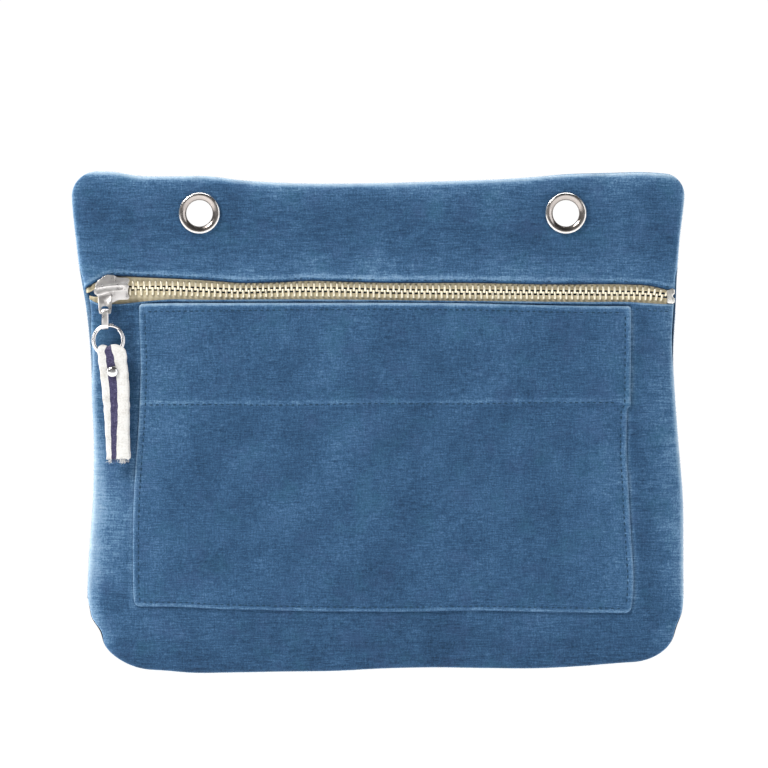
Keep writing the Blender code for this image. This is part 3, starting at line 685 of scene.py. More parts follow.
def panel_y(x, z):
    """Front surface of the front panel, away from its edges."""
    lip, d = ease(-52, -44, z), lip_l(x) - z
    belly = -4.35 - 0.45 * lip - 0.35 * ease(-205, -150, z)
    belly = belly + 1.15 * (1 - ease(2, 22, nearest(x - side_l(z), side_r(z) - x))) * (1 - lip)
    bump = waves(x, z, 5, (160, 80, 40), 0.34) + waves(x, z, 6, (15, 9), 0.05)
    inside = (ease(P_LEFT - 4, P_LEFT + 6, x) * ease(P_RIGHT + 4, P_RIGHT - 6, x)
              * ease(-184, -176, z) * ease(-38, -46, z))
    low = ease(-181, -190, z) * ease(-211, -200, z)
    bump = bump * (1 - 0.65 * inside) * ease(1.0, 10, d) - 0.175 * low * (1 + np.sin(x / 17.0))
    slot = 0.5 * bell(z - pocket_top(x) - 0.25, 0.55) * ease(P_LEFT, P_LEFT + 6, x) * ease(P_RIGHT, P_RIGHT - 3, x)
    seam = 0.34 * bell(d - 3.3, 0.7) * (1 - inside)
    return np.minimum(belly + bump, -3.4) + seam + 0.25 * inside + slot * lip


def pocket_y(x, z):
    """Front surface of the pocket with its sewn grooves."""
    l, r, b, t = pocket_dist(x, z)
    edge, d = nearest(l, r, b, t), z - hem_line(x)
    body = 0.8 * waves(x, z, 8, (140, 75, 36), 0.40) * ease(1, 12, edge)
    y = panel_y(x, z) - 1.5 - 0.25 * ease(3.5, 14, nearest(l, r, b)) + body - 0.5 * ease(-1.6, 0.6, d)
    y = y + 0.28 * bell(d, 0.6) * ease(1.5, 4.5, nearest(l, r))
    for dist, at in ((l, 2.6), (r, 2.7), (b, 2.0), (t, top_inset(x))):
        y = y + 0.45 * bell(dist - at, 0.85)
    return y + 0.08 * np.sin((x + 1.3 * z) * 2 * math.pi / PUCKER) * bell(edge - 3.5, 2.2)


def back_y(x, z):
    """Outer surface of the back."""
    side = nearest(x - side_l(z), side_r(z) - x)
    belly = 12.1 * ease(-12.5, -79, z) * roll(side + 0.3, 25.0) * roll(z - bottom(x) + 0.3, 25.0)
    return 1.45 + belly + waves(x, z, 12, (170, 90, 45), 0.38) * off_eyelets(x, z) * ease(1, 14, side)


# ---- grids
def piece_grid(n_c, n_r, low, high, r_low, r_high, inset=None, dent=1.0):
    """Grid of a full-width piece between two edge lines, with rounded outline corners."""
    nr, nc = len(graded(100.0, n_r)), len(graded(270.0, n_c))
    X = np.broadcast_to(np.linspace(-136, 134, nc), (nr, nc)).copy()
    at = np.arange(nr)[:, None]
    for _ in range(5):
        lo, hi = low(X), high(X)
        Z = lo + graded(hi - lo, n_r)[at, np.arange(nc)[None, :], at]
        zl, zr = Z[:, :1], Z[:, -1:]
        kl = np.maximum(corner(r_low[0], zl - lo[:, :1]), corner(r_high[0], hi[:, :1] - zl))
        kr = np.maximum(corner(r_low[1], zr - lo[:, -1:]), corner(r_high[1], hi[:, -1:] - zr))
        in_l, in_r = inset(zl) if inset else (0, 0)
        if r_low[0] > 1:
            kl = kl + dent * (3.4 * bell(zl + 191.0, 5.5) + 1.0 * bell(zl + 181, 4.5))
            kr = kr + dent * 2.3 * bell(zr + 189.0, 6.5)
        xl, xr = side_l(zl) + kl + in_l, side_r(zr) - kr - in_r
        X = xl + graded((xr - xl)[:, 0], n_c)
    return X, Z, nearest(X - xl, xr - X), Z - lo, hi - Z


def front_cloth(y, side, sewn, folded, w_side, w_sewn):
    """Front and back face of a piece that is sewn at its outer edges and turned in at the zipper."""
    mid = SEAM_Y + (y + 0.6 - SEAM_Y) * roll(side, w_side) * roll(sewn, w_sewn)
    lip, h = roll(folded, 1.5), HALF * roll(side, 1.0) * roll(sewn, 1.0)
    return mid - h * lip, mid + (h + 0.35 * ease(7.0, 0.0, folded)) * lip


SQUARE = (0.01, 0.01)  # corner radii, left and right
TOP_CORNERS, LOW_CORNERS = (11.0, 8.5), (30.0, 23.0)


def build_yoke():
    def inset(z):
        return (0.9 * ease(-22, -31, z),) * 2
    X, Z, side, db, dt = piece_grid(330, 60, lip_u, top, SQUARE, TOP_CORNERS, inset)
    return X, Z, *front_cloth(yoke_y(X, Z), side, dt, db, 5.5, 5.0)


def build_panel():
    def inset(z):
        return 0.9 * ease(-80, -60, z) + 1.3 * ease(-58, -42, z), 1.0 * ease(-75, -50, z)
    X, Z, side, db, dt = piece_grid(300, 190, bottom, lip_l, LOW_CORNERS, SQUARE, inset)
    return X, Z, *front_cloth(panel_y(X, Z), side, db, dt, 7.0, 8.0)


def build_back():
    def up(x):
        return top(x) + 0.5 * ease(60, 88, x) - 0.2
    X, Z, side, db, dt = piece_grid(240, 200, bottom, up, LOW_CORNERS, TOP_CORNERS, dent=0.8)
    h = HALF * roll(side, 1.2) * roll(db, 1.2) * roll(dt, 1.2)
    flat = 3.0 * bell(Z + 54, 26.0) * (X < 0)  # seam margin that shows beside the front panel
    soft = roll(np.maximum(side - flat, 0), 4.0) * roll(db, 4.0) * roll(dt, 3.0)
    mid = HALF + (back_y(X, Z) - 0.6 - HALF) * soft
    return X, Z, mid - h, mid + h


def build_pocket():
    n_c, low_n, up_n, clear = 260, 124, 46, 3.4
    e = np.array((0, 0.05, 0.16, 0.34, 0.6, 0.95, 1.4, 1.9, 2.4, 3.0, 3.6, 4.2, 5.2))
    fine = np.array((0.25, 0.5, 0.8, 1.1, 1.5, 2.0, 2.6))  # rows that crowd at the hem's stitching
    fine = np.concatenate([-fine[::-1], [0], fine])[:, None]
    ee, t1, t2 = e[:, None], np.linspace(0, 1, low_n + 1)[1:, None], np.linspace(0, 1, up_n + 1)[:-1, None]
    nr, nc = len(e) * 2 + low_n + up_n + len(fine), len(e) * 2 + n_c
    X = np.broadcast_to(np.linspace(P_LEFT, P_RIGHT, nc), (nr, nc)).copy()
    for _ in range(4):
        lo, hi, hem = pocket_bottom(X[0]), pocket_top(X[0]), hem_line(X[0])
        Z = np.concatenate([lo + ee, lo + e[-1] + (hem - clear - lo - e[-1]) * t1, hem + fine,
                            hem + clear + (hi - e[-1] - hem - clear) * t2, hi - ee[::-1]])
        c = np.maximum(corner(2.6, Z - lo), corner(1.8, hi - Z))
        xl, xr = pocket_left(Z[:, :1]) + c[:, :1], pocket_right(Z[:, -1:]) - c[:, -1:]
        X = xl + graded((xr - xl)[:, 0], n_c, e)
    y, under = pocket_y(X, Z), panel_y(X, Z) - 0.12
    mid = (y + under) / 2
    edge = roll(X - xl, 1.3) * roll(xr - X, 1.3) * roll(Z - lo, 1.3) * roll(hi - Z, 1.3)
    return X, Z, mid + (y - mid) * edge, mid + (under - mid) * edge


eyes = [box_mm("eyelet_" + side)[2] for side in ("left", "right")]


def punch(ob, y0, y1, r=7.1):
    """Holes for the eyelets' barrels."""
    a = turn(48) + 0.031  # turned a little, so no corner falls on the cloth's grid
    for x, _, z in eyes:
        cut(ob, prism("punch", np.stack([x + r * np.cos(a), z + r * np.sin(a)], 1), y0, y1, ob.data.materials[0]))
    sharpen(ob, 50)


def bend_with_zip(ob, weight):
    """Bake a mesh's transform and work out its weight between the bag and one half of the zipper as a function of
    place; the weight is not used.
    """
    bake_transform(ob)
    x, _, z = points_mm(ob).T
    weight(x, z).astype(np.float32)


def give(x, z=None):
    """How far a place on the zipper follows its half: not at the slider's end, fully from the middle on."""
    return ease(-132, -34, x)


def give_up(x, z):
    return give(x) * ease(-8, -29, z) * ease(HINGE[0] + 5, HINGE[0] - 20, x)


def give_down(x, z):
    return give(x) * ease(-78, -42, z) * ease(HINGE[0] + 5, HINGE[0] - 20, x)


yoke = stands_for(skin("velvet_yoke", *build_yoke(), VELVET_Y), "front_yoke")
punch(yoke, -8, 4)
bend_with_zip(yoke, give_up)
panel = stands_for(skin("velvet_panel", *build_panel(), VELVET_F), "front_panel")
bend_with_zip(panel, give_down)
back = stands_for(skin("velvet_back", *build_back(), VELVET_B), "back_panel", "pouch")
punch(back, -4, 6)


# ---- painted light and shade on the velvet
def fade(d, w):
    return np.exp(-np.maximum(d, 0) / w)


def rim(d, near, far):
    """Painted highlight along an edge: bright for a millimetre, then fading."""
    return near * bell(np.maximum(d, 0), 1.35) + far * fade(d, 4.5)


def painted_shading_yoke(x, y, z):
    d, l, r = z - lip_u(x), x - side_l(z), side_r(z) - x
    # Painted highlights along the top and side edges and on the roll above the zipper, painted shadow along the lip's
    # edge, and a faint random tone.
    v = rim(top(x) - z, 0.85, 0.33) + rim(l * 1.3, 0.26, 0.24) + rim(r * 1.6, 0.5, 0.20)
    v = v + (0.20 + 0.10 * ease(70, 30, x)) * bell(d - 2.2, 1.0) + 0.12 * bell(np.maximum(d - 5.0, 0), 9.0)
    v = v - 1.0 * bell(np.maximum(d, 0), 0.45) - 0.20 * bell(d - 0.9, 0.5)
    v = v + 0.06 * ease(-45, -25, x) * ease(70, 50, x) * bell(d - 2.8, 2.0)
    return v - 0.03 + waves(x, z, 51, (60, 28), 0.03)


def painted_shading_panel(x, y, z):
    l, r, b, t = x - side_l(z), side_r(z) - x, z - bottom(x), lip_l(x) - z
    # Painted highlights along the side rims, at the lower corners and on the lip; painted light on the margins beside
    # the pocket to lift their shadow; painted shade along the bottom edge and a painted shadow under the pocket's
    # mouth; a faint random tone.
    v = rim(l - 0.5, 0.50, 0.20) + rim((r - 0.3) * 1.5, 0.55, 0.24)
    v = v + 0.26 * ease(-92, -115, z) * bell(l - 3.2, 3.2)
    beside = ease(P_LEFT + 1, P_LEFT - 9, x) * ease(-178, -162, z) * ease(-45, -60, z)
    v = v + (0.09 + 0.12 * ease(-118, -140, z)) * beside
    v = v + 0.22 * bell(np.hypot(x + 129, z + 193), 9.0) + 0.20 * bell(np.hypot(x - 131, z + 194), 7.0)
    v = v + 0.10 * ease(P_RIGHT + 3, P_RIGHT + 16, x) * ease(-190, -170, z)
    v = v + 0.45 * bell(t - 0.45, 0.5) - 0.12 * fade(b, 1.8) - 0.05 * ease(25, 8, b)
    wide = ease(P_LEFT - 1, P_LEFT + 8, x) * ease(P_RIGHT + 1, P_RIGHT - 4, x)
    v = v - 0.50 * bell(z - pocket_top(x) - 0.1, 0.4) * wide
    tall = ease(-184, -178, z) * ease(-41, -46, z)
    v = v + tall * (0.26 * bell(x - pocket_right(z) - 0.6, 1.3) + 0.20 * bell(pocket_left(z) - x - 0.7, 1.5))
    return v - 0.02 + waves(x, z, 52, (60, 28), 0.03)


def painted_shading_pocket(x, y, z):
    l, r, b, t = pocket_dist(x, z)
    h = z - hem_line(x)
    # Painted highlights along the pocket's edges and on the hem's ridge, painted shade just below the hem and in one
    # broad patch, painted light in another, and a faint random tone.
    v = 0.42 * fade(l, 0.9) + 0.36 * fade(r, 1.0)
    v = v + (0.34 + 0.26 * ease(60, 30, x)) * bell(t - 0.45, 0.8) + 0.10 * fade(t, 2.4)
    v = v + 0.24 * bell(b - 0.7, 0.8) + 0.06 * (1 - ease(8, 34, nearest(l, r)))
    v = v + 0.15 * bell(h - 1.0, 1.2) - 0.05 * bell(h + 1.7, 1.0)
    v = v - 0.06 * bell(np.hypot((x + 38 - 0.3 * (z + 110)) / 14, (z + 110) / 36), 1.0)
    v = v + 0.045 * bell(np.hypot((x + 85) / 35, (z + 82) / 20), 1.0)
    return v - 0.01 + waves(x, z, 53, (70, 30), 0.03)


def painted_shading_back(x, y, z):
    # Painted light on the seam margin that shows beside the front panel and painted highlights along the rims, with a
    # faint random tone.
    show = bell(z + 52.0, 22.0) * ease(0, -60, x) * ease(1.5, 0.5, y)
    v = rim(nearest(x - side_l(z), side_r(z) - x), 0.15, 0.2) + 0.30 * show + rim(top(x) - z, 0.4, 0.2)
    return v - 0.02 + waves(x, z, 54, (80, 34), 0.04)


def seam_allowance():
    """Turned-in cloth where front and back are sewn together, all the way round."""
    low, high = build_panel(), build_yoke()
    turned = slice(None, None, -1)
    loop = np.concatenate([np.stack([g[0][rows, cols], g[1][rows, cols]], -1) for g, rows, cols in (
        (low, turned, 0), (low, 0, slice(1, None)), (low, slice(1, None), -1),
        (high, slice(None), -1), (high, -1, slice(-2, None, -1)), (high, slice(-2, None, -1), 0))])
    closed = np.vstack([loop, loop[:1]])
    at = np.concatenate([[0], np.cumsum(np.hypot(*np.diff(closed, axis=0).T))])
    t = np.linspace(0, at[-1], 720, endpoint=False)
    pts = np.stack([np.interp(t, at, closed[:, k]) for k in (0, 1)], -1)
    way = unit(np.roll(pts, -2, 0) - np.roll(pts, 2, 0))
    section = ((1.1, -1.15), (1.1, 0.8), (4.8, 0.7), (4.8, -1.05))  # inwards from the edge, depth
    rings = [[(x - tz * d, y, z + tx * d) for d, y in section] for (x, z), (tx, tz) in zip(pts, way)]
    return loft("seam_allowance", rings, VELVET_B, loop=True)


seam = seam_allowance()
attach(seam, "pouch")
pocket = stands_for(skin("velvet_pocket", *build_pocket(), VELVET_P), "patch_pocket")
bend_with_zip(pocket, give_down)
# Painted light and shade for each velvet piece, kept in its point attribute.
for ob, look in ((yoke, painted_shading_yoke), (panel, painted_shading_panel), (back, painted_shading_back), (pocket, painted_shading_pocket)):
    painted_shading(ob, look)


# ---- stitches
STITCH = 2.7  # from one stitch to the next


def sew(name, lines, surf, length, radius, sink=-0.06):
    P, T = [], []
    for line in lines:
        x, z, t = along(line, STITCH)
        y, (tx, tz) = surf(x, z), t.T * 0.4
        d = unit(np.stack([tx, surf(x + tx, z + tz) - y, tz], 1))
        d[:, 2] += rng.normal(0, 0.05, len(x)) * np.abs(t[:, 0])
        T.append(unit(d))
        P.append(np.stack([x, y + sink + rng.normal(0, 0.07, len(x)), z], 1))
    return grains(name, np.concatenate(P), np.concatenate(T), length, radius, THREAD)


def hline(f, x0, x1, dz=0.0):
    x = np.linspace(x0, x1, 160)
    return np.stack([x, f(x) + dz], 1)


def vline(f, at, dx):
    """Down the pocket's side, beside the edge f; at is the x where its ends are read."""
    z = np.linspace(float(pocket_top(at)) - 4.0, float(pocket_bottom(at)) + 2.4, 120)
    return np.stack([f(z) + dx, z], 1)


pocket_seams = [hline(lambda x: pocket_top(x) - top_inset(x), P_LEFT + 4.6, P_RIGHT - 3.4),
                vline(pocket_left, -110.0, 2.6), vline(pocket_right, 110.0, -2.7),
                hline(pocket_bottom, P_LEFT + 2.6, P_RIGHT - 2.8, 2.0),
                hline(hem_line, P_LEFT + 5.2, P_RIGHT - 5.4)]
for end, way in ((P_LEFT + 5.0, 1), (P_RIGHT - 5.6, -1)):
    for k in range(4):  # back-tacks at the hem's ends
        bx = end + 0.7 * k * way
        pocket_seams.append(np.array([[bx, -88.6 + 0.2 * k], [bx + 0.3, -86.4 + 0.2 * k]]))
pocket_thread = sew("pocket_stitches", pocket_seams, pocket_y, 1.7, 0.27)
panel_seams = [hline(lip_l, -131.5, P_LEFT - 1.0, -3.3), hline(lip_l, P_RIGHT + 1.2, 131.0, -3.3)]
panel_thread = sew("panel_stitches", panel_seams, panel_y, 1.75, 0.24)
yoke_thread = sew("yoke_stitches", [hline(lip_u, -132.5, 131.0, 1.45)], yoke_y, 1.7, 0.24, 0.07)


# ---- loose pile at the edges
def fuzz(name, P, N, length=0.55, width=0.055):
    """Short tapered fibres standing on a line of points, leaning at random."""
    g = np.random.default_rng(len(P))
    D = unit(N + g.normal(0, 0.45, N.shape))
    A = unit(np.cross(D, g.normal(0, 1, D.shape)))
    B = np.cross(D, A)
    L = length * g.uniform(0.45, 1.25, len(P))[:, None]
    W = width * g.uniform(0.7, 1.2, len(P))[:, None]
    P = P - D * 0.25
    corners = [P + A * W, P + B * W * 0.9 - A * W * 0.5, P - B * W * 0.9 - A * W * 0.5]
    tip = P + D * (L + 0.25) + np.array([0, 0, -0.08])
    k = np.arange(len(P))[:, None] * 4
    F = np.concatenate([k + [0, 1, 3], k + [1, 2, 3], k + [2, 0, 3], k + [2, 1, 0]])
    return outward(new_object(name, np.stack(corners + [tip], 1).reshape(-1, 3), F.tolist(), [FUZZ]))


def edge_fuzz(name, parts, thick, y=-0.6):
    """Fibres at random places along the outer edges; a part is (edge, upright, from, to, count, side)."""
    P, N = [], []
    for i, (edge, upright, a, b, n, sign) in enumerate(parts):
        g = np.random.default_rng(300 + i)
        t = np.sort(g.uniform(a, b, n))
        p, q = (np.stack([edge(v), v] if upright else [v, edge(v)], 1) for v in (t, t + 0.2))
        d = unit(q - p)
        out = sign * np.stack([-d[:, 1], d[:, 0]], 1)
        s = g.uniform(-1, 1, n)
        lift = (np.sqrt(1 - s * s) * 0.9)[:, None]
        p = p - out * thick * 0.6 * (1 - lift)
        P.append(np.stack([p[:, 0], y + thick * s, p[:, 1]], 1))
        out = out * lift
        N.append(np.stack([out[:, 0], s, out[:, 1]], 1))
    return fuzz(name, np.concatenate(P), np.concatenate(N))


yoke_pile = edge_fuzz("yoke_pile", [(top, False, -132, 128, 4200, 1), (side_l, True, -28, 9, 600, 1),
                                    (side_r, True, -28, 9, 600, -1)], 0.9)
panel_pile = edge_fuzz("panel_pile", [(side_l, True, -176, -44, 2000, 1), (side_r, True, -176, -44, 2000, -1),
                                      (bottom, False, -104, 106, 700, -1)], 0.7)
for ob, node, half, weight in ((pocket_thread, "patch_pocket", "zip_lower", give_down),
                               (panel_thread, "front_panel", "zip_lower", give_down),
                               (yoke_thread, "front_yoke", "zip_upper", give_up),
                               (yoke_pile, "front_yoke", "zip_upper", give_up),
                               (panel_pile, "front_panel", "zip_lower", give_down)):
    bend_with_zip(ob, weight)


# ---- linings
def lining(name, node, low, high, depth, hole=False):
    lo, hi, _ = box_mm(node)
    nr, nc = 40, 90
    X = np.broadcast_to(np.linspace(lo[0] + 0.6, hi[0] - 0.6, nc), (nr, nc)).copy()
    t = np.linspace(0, 1, nr)[:, None]
    Z = low(X) * (1 - t) + high(X) * t
    Z = np.minimum(np.maximum(Z, bottom(X) + 7.2), top(X) - 6.2)
    cut_in = corner(24.0, np.maximum(Z - (bottom(X) + 7.0), 0))
    f = (X - X[:, :1]) / (X[:, -1:] - X[:, :1])
    X = (lo[0] + 0.6 + cut_in) * (1 - f) + (hi[0] - 0.6 - cut_in) * f
    y = depth(X, Z)
    ob = skin(name, X, Z, y - 0.22, y + 0.22, LINING)
    if hole:
        punch(ob, -4, 4)
    return stands_for(ob, node, "pouch")


def back_lining_y(x, z):
    return np.maximum(np.minimum(back_y(x, z) - 2.6, 10.2) * ease(-12, -26, z), 0) - 0.35 * ease(-26, -12, z)


lining_yoke = lining("lining_yoke_cloth", "lining_yoke", lambda x: zip_line(x) + 6.2, lambda x: top(x) - 6.2,
                     lambda x, z: -1.25 + waves(x, z, 41, (50,), 0.05), True)
lining_front = lining("lining_front_cloth", "lining_front", lambda x: bottom(x) + 7.2, lambda x: zip_line(x) - 7.3,
                      lambda x, z: -0.9 + 0.6 * ease(-48, -60, z) + waves(x, z, 42, (60, 30), 0.12))
lining_back = lining("lining_back_cloth", "lining_back", lambda x: bottom(x) + 9.5, lambda x: top(x) - 8.0,
                     back_lining_y, True)

# ---- eyelets, as (radius, depth)
BARREL = [(6.0, 3.2), (6.0, -3.5), (6.12, -4.1), (7.0, -4.75), (8.3, -5.1), (9.2, -4.85), (9.66, -3.95), (9.58, -3.2),
          (8.6, -3.12), (6.6, -3.2), (6.6, 2.8), (7.8, 2.75), (8.3, 3.05), (7.7, 3.6), (6.5, 3.65)]
WASHER = [(6.95, 1.75), (9.3, 1.72), (9.5, 2.0), (9.0, 2.5), (7.9, 2.62), (6.95, 2.55)]
for side, at in zip(("left", "right"), eyes):
    for node, section in (("eyelet_" + side, BARREL), ("eyelet_washer_" + side, WASHER)):
        stands_for(lathe(node + "_part", smooth_profile(section, 2), at, 96, CHROME), node, "pouch")

# ---- zipper
TAPE_Y = HINGE[1]
PITCH = 2.59
LEAN_FROM, LAST_TOOTH = 118, 129.5


def tooth(sign, x, lean, size):
    """One tooth: legs over the tape's cord, a waist and a rounded head."""
    sections = [(3.42, 0.26, 0.55), (3.32, 0.46, 1.0), (2.9, 0.54, 1.22), (1.5, 0.54, 1.27), (0.95, 0.53, 1.22),
                (0.55, 0.59, 1.12), (0.20, 0.62, 1.05), (-0.22, 0.61, 1.00), (-0.42, 0.52, 0.85), (-0.52, 0.25, 0.5)]
    k = 12
    a = turn(k) + math.pi / k
    ca, sa = (np.sign(v) * np.abs(v) ** 0.42 for v in (np.cos(a), np.sin(a)))
    c, s = chain(x), (chain(x + 1) - chain(x - 1)) / 2
    rows = []
    for w, hx, hy in sections:
        w = w * size
        px = x + ca * hx + lean * w - s * sign * w
        rows.append(np.stack([px, TAPE_Y + sa * hy, c + sign * w + s * (px - x)], 1))
    return np.concatenate(rows), ring_faces(len(sections), k)


def teeth_row(name, sign, node):
    x = box_mm(node)[0][0] + 0.75
    V, F = np.zeros((0, 3)), []
    while x < LAST_TOOTH:
        past = max(0.0, x - LEAN_FROM)  # the last teeth lean and shrink towards the stop
        lean, size = 0.035 * past * (0.6 if sign > 0 else -0.55), 1.0 - 0.012 * past
        v, f = tooth(sign, x + rng.normal(0, 0.03), lean + rng.normal(0, 0.012), size)
        v[:, 1] += rng.normal(0, 0.03)
        F += [[i + len(V) for i in q] for q in f]
        V = np.concatenate([V, v])
        x += PITCH
    return stands_for(sharpen(outward(new_object(name, V, F, [TEETH])), 60), node)


def tape(name, sign, node):
    lo, hi, _ = box_mm(node)
    x = np.concatenate([np.linspace(lo[0] - (3.9 if sign > 0 else 2.5), lo[0] + 12, 60)[:-1],
                        np.linspace(lo[0] + 12, hi[0] + 1.0, 230)])
    w = np.array([1.2, 1.26, 1.4, 1.7, 2.2, 2.8, 3.3, 3.9, 4.6, 5.6, 7.5, 10, 12.1, 12.4, 12.5])
    h = np.array([0.0, 0.30, 0.42, 0.42, 0.34, 0.30, 0.36, 0.28, 0.26, 0.26, 0.26, 0.26, 0.24, 0.16, 0.0])
    X = np.broadcast_to(x[:, None], (len(x), len(w))).copy()
    ends = (-3.5, -3.0, -1.2, 0.8, 1.6, 0, 0) if sign > 0 else (1.7, 2.0, 2.6, 2.4, 1.7, 0, 0)
    spread = curve((-136, -134.2, -131.4, -129.5, -124, -116, -100), ends, X)
    w = np.minimum(w, 3.2 + 9.3 * ease(-133.5, -127, X)) + 0.002 * w
    Z = chain(X) + sign * (w + spread * ease(14, 0.0, w))
    y = TAPE_Y - 0.10 * spread * ease(6, 0, w) + 0.05 * np.sin(X * 2.4)
    thick = np.broadcast_to(h, X.shape).copy()
    thick[0], thick[-1] = 0, 0
    return stands_for(outward(skin(name, X, Z, y - thick, y + thick, TAPE)), node)


def top_stop(name, node):
    lo, hi, c = box_mm(node)
    pts = smooth_profile([(lo[0], c[2] - 1.0), (hi[0], c[2] - 1.1), (hi[0], c[2] + 1.1), (lo[0], c[2] + 1.0)], 2)
    return stands_for(slab(name, pts, lo[1], hi[1], TEETH, 0.3, 3), node)


for sign, part in ((1, "upper"), (-1, "lower")):
    for ob in (teeth_row("teeth_" + part, sign, "zipper_teeth_" + part),
               tape("tape_" + part, sign, "zipper_tape_" + part), top_stop("stop_" + part, "top_stop_" + part)):
        bend_with_zip(ob, give)


def mirrored(pairs, z):
    """Outline from (x, half height) pairs, the same above and below z."""
    return [(x, z + w) for x, w in pairs] + [(x, z - w) for x, w in reversed(pairs)]


lo, hi, _ = box_mm("bottom_stop")
x0, x1 = lo[0], hi[0]
jaws = [(x1 - 0.55, 0.35), (x1 + 0.35, 1.1), (x1 + 0.3, 2.9), (x1 - 0.5, 3.5), (x0 + 0.2, 3.3)]
stands_for(slab("bottom_stop_part", mirrored(jaws, float(chain(131.4))), lo[1] - 0.2, hi[1] - 0.1, STOP, 0.45, 4),
           "bottom_stop", "pouch")


# ---- slider
def slider():
    lo, hi, mid = box_mm("slider_body")
    x0, x1, c = lo[0], hi[0], float(zip_line(mid[0]))
    a, b = x0 + 1.3, x1 - 0.7
    up = [(x0 + 0.1, 2.2), (x0 + 0.9, 3.0), (x0 + 2.6, 4.5), (x0 + 4.9, 6.35), (x0 + 8.6, 6.35), (x0 + 10.2, 5.15),
          (x0 + 12.6, 4.95), (x1 - 0.7, 4.95), (x1 + 0.1, 3.9), (x1 - 0.7, 2.4), (x1 - 1.6, 0.9)]
    line_across = (rect(x0 + 7.9, x0 + 9.0, c - 8, c + 8), -6.6, -5.35)
    parts = [slab("slider_plate", smooth_profile(mirrored(up, c), 2), -6.1, -5.12, NICKEL, 0.22, 4, [line_across]),
             slab("slider_core", rect(a, b, c - 3.95, c + 3.95), -5.2, -3.55, NICKEL, 0.2, 2)]
    for s in (1, -1):
        for out, y0, y1 in ((3.95, -3.6, -2.8), (4.2, -1.5, -0.5)):
            z0, z1 = sorted((s * 3.6, s * out))
            parts.append(slab("slider_wall", rect(a + 0.1, b - 0.1, c + z0, c + z1), y0, y1, NICKEL, 0.08, 2))
    rear = mirrored([(b, 4.2), (a + 2, 4.7), (a, 3.6)], c)
    parts.append(slab("slider_back", smooth_profile(rear, 2), -0.7, 0.25, NICKEL, 0.25, 3))
    parts.append(slab("slider_post", rect(a + 0.3, a + 3.2, c - 0.3, c + 0.3), -3.6, -0.6, NICKEL, 0.1, 2))
    return sharpen(join("slider_shell", parts))


PULL_AXIS, LINK_AXIS = pivot_mm("pull_lift"), pivot_mm("link_swing")


def crown():
    """A bridge over the slider, rounded at its left end."""
    lo, hi, _ = box_mm("slider_crown")
    x0, x1 = lo[0] - 0.2, hi[0] - 0.1
    _, y, z = PULL_AXIS
    zl, zr = z - 0.75, z + 0.95
    top_edge = [(x0 + 0.9, zl + 1.8), (x0 + 3.0, zl + 2.2), (x0 + 8.5, zr + 1.75), (x1 + 0.3, zr + 1.9)]
    low_edge = [(x1 + 0.3, zr - 1.75), (x0 + 8.5, zr - 2.0), (x0 + 3.0, zl - 2.1), (x0 + 1.2, zl - 2.3)]
    o = smooth_profile(top_edge + low_edge + [(x0 - 0.2, zl - 1.4), (x0 - 0.3, zl + 0.6)], 2)
    dish = o.mean(0) + (o - o.mean(0)) * np.array([0.80, 0.52])
    cap = slab("crown_cap", o, lo[1], -9.5, NICKEL, 0.35, 4, [(dish, lo[1] - 1, lo[1] + 0.22)])
    legs = [slab("crown_leg", rect(x0 + 0.35, x0 + 1.2, z - 0.9, z + 2.2), -9.6, -6.15, NICKEL, 0.15, 2),
            slab("crown_leg", rect(x1 - 3.2, x1 - 0.3, z - 0.2, z + 2.9), -9.6, -6.15, NICKEL, 0.3, 3)]
    pin = tube("crown_pin", [(x0 + 0.6, y, z), (x1 - 2.8, y, z)], 0.5, NICKEL, 14)
    return sharpen(join("crown_shell", [cap, *legs, pin]))


stands_for(slider(), "slider_body", "slider")
stands_for(crown(), "slider_crown", "slider")


# ---- pull tab, link, ring
def pull():
    x, y, z = PULL_AXIS[0] - 0.1, PULL_AXIS[1], PULL_AXIS[2]
    dy, dz = y - LINK_AXIS[1], z - LINK_AXIS[2]
    tilt, bar = -math.atan2(dy, dz), z - math.hypot(dy, dz)
    plate = smooth_profile([(x - 3.25, z - 0.6), (x - 3.35, z - 2.5), (x - 3.05, z - 7.5), (x - 2.75, bar + 0.2),
                            (x - 2.3, bar - 0.75), (x + 2.3, bar - 0.75), (x + 2.75, bar + 0.2),
                            (x + 3.05, z - 7.5), (x + 3.4, z - 2.5), (x + 3.3, z - 0.6)], 1)
    window = smooth_profile(rect(x - 1.65, x + 1.65, bar + 0.75, bar + 3.0), 1)
    dish = smooth_profile([(x - 2.55, z - 1.9), (x + 2.6, z - 1.9), (x + 2.3, z - 6.9), (x - 2.25, z - 6.9)], 1)
    cuts = [(window, y - 3, y + 3), (dish, y - 3, y - 0.36)]
    tab = slab("pull_plate", plate, y - 0.62, y + 0.6, NICKEL, 0.22, 4, cuts)
    rings = [[(px, y + r * math.cos(t), z + r * math.sin(t)) for t in turn(28)]
             for px, r in ((x - 3.1, 1.3), (x + 3.1, 1.3), (x + 3.1, 0.75), (x - 3.1, 0.75))]
    ob = sharpen(join("pull_shell", [tab, loft("pull_barrel", rings, NICKEL, loop=True)]))
    co = points_mm(ob)
    u, v = co[:, 1] - y, co[:, 2] - z
    co[:, 1] = y + u * math.cos(tilt) - v * math.sin(tilt)
    co[:, 2] = z + u * math.sin(tilt) + v * math.cos(tilt)
    move_points(ob, co)
    return ob


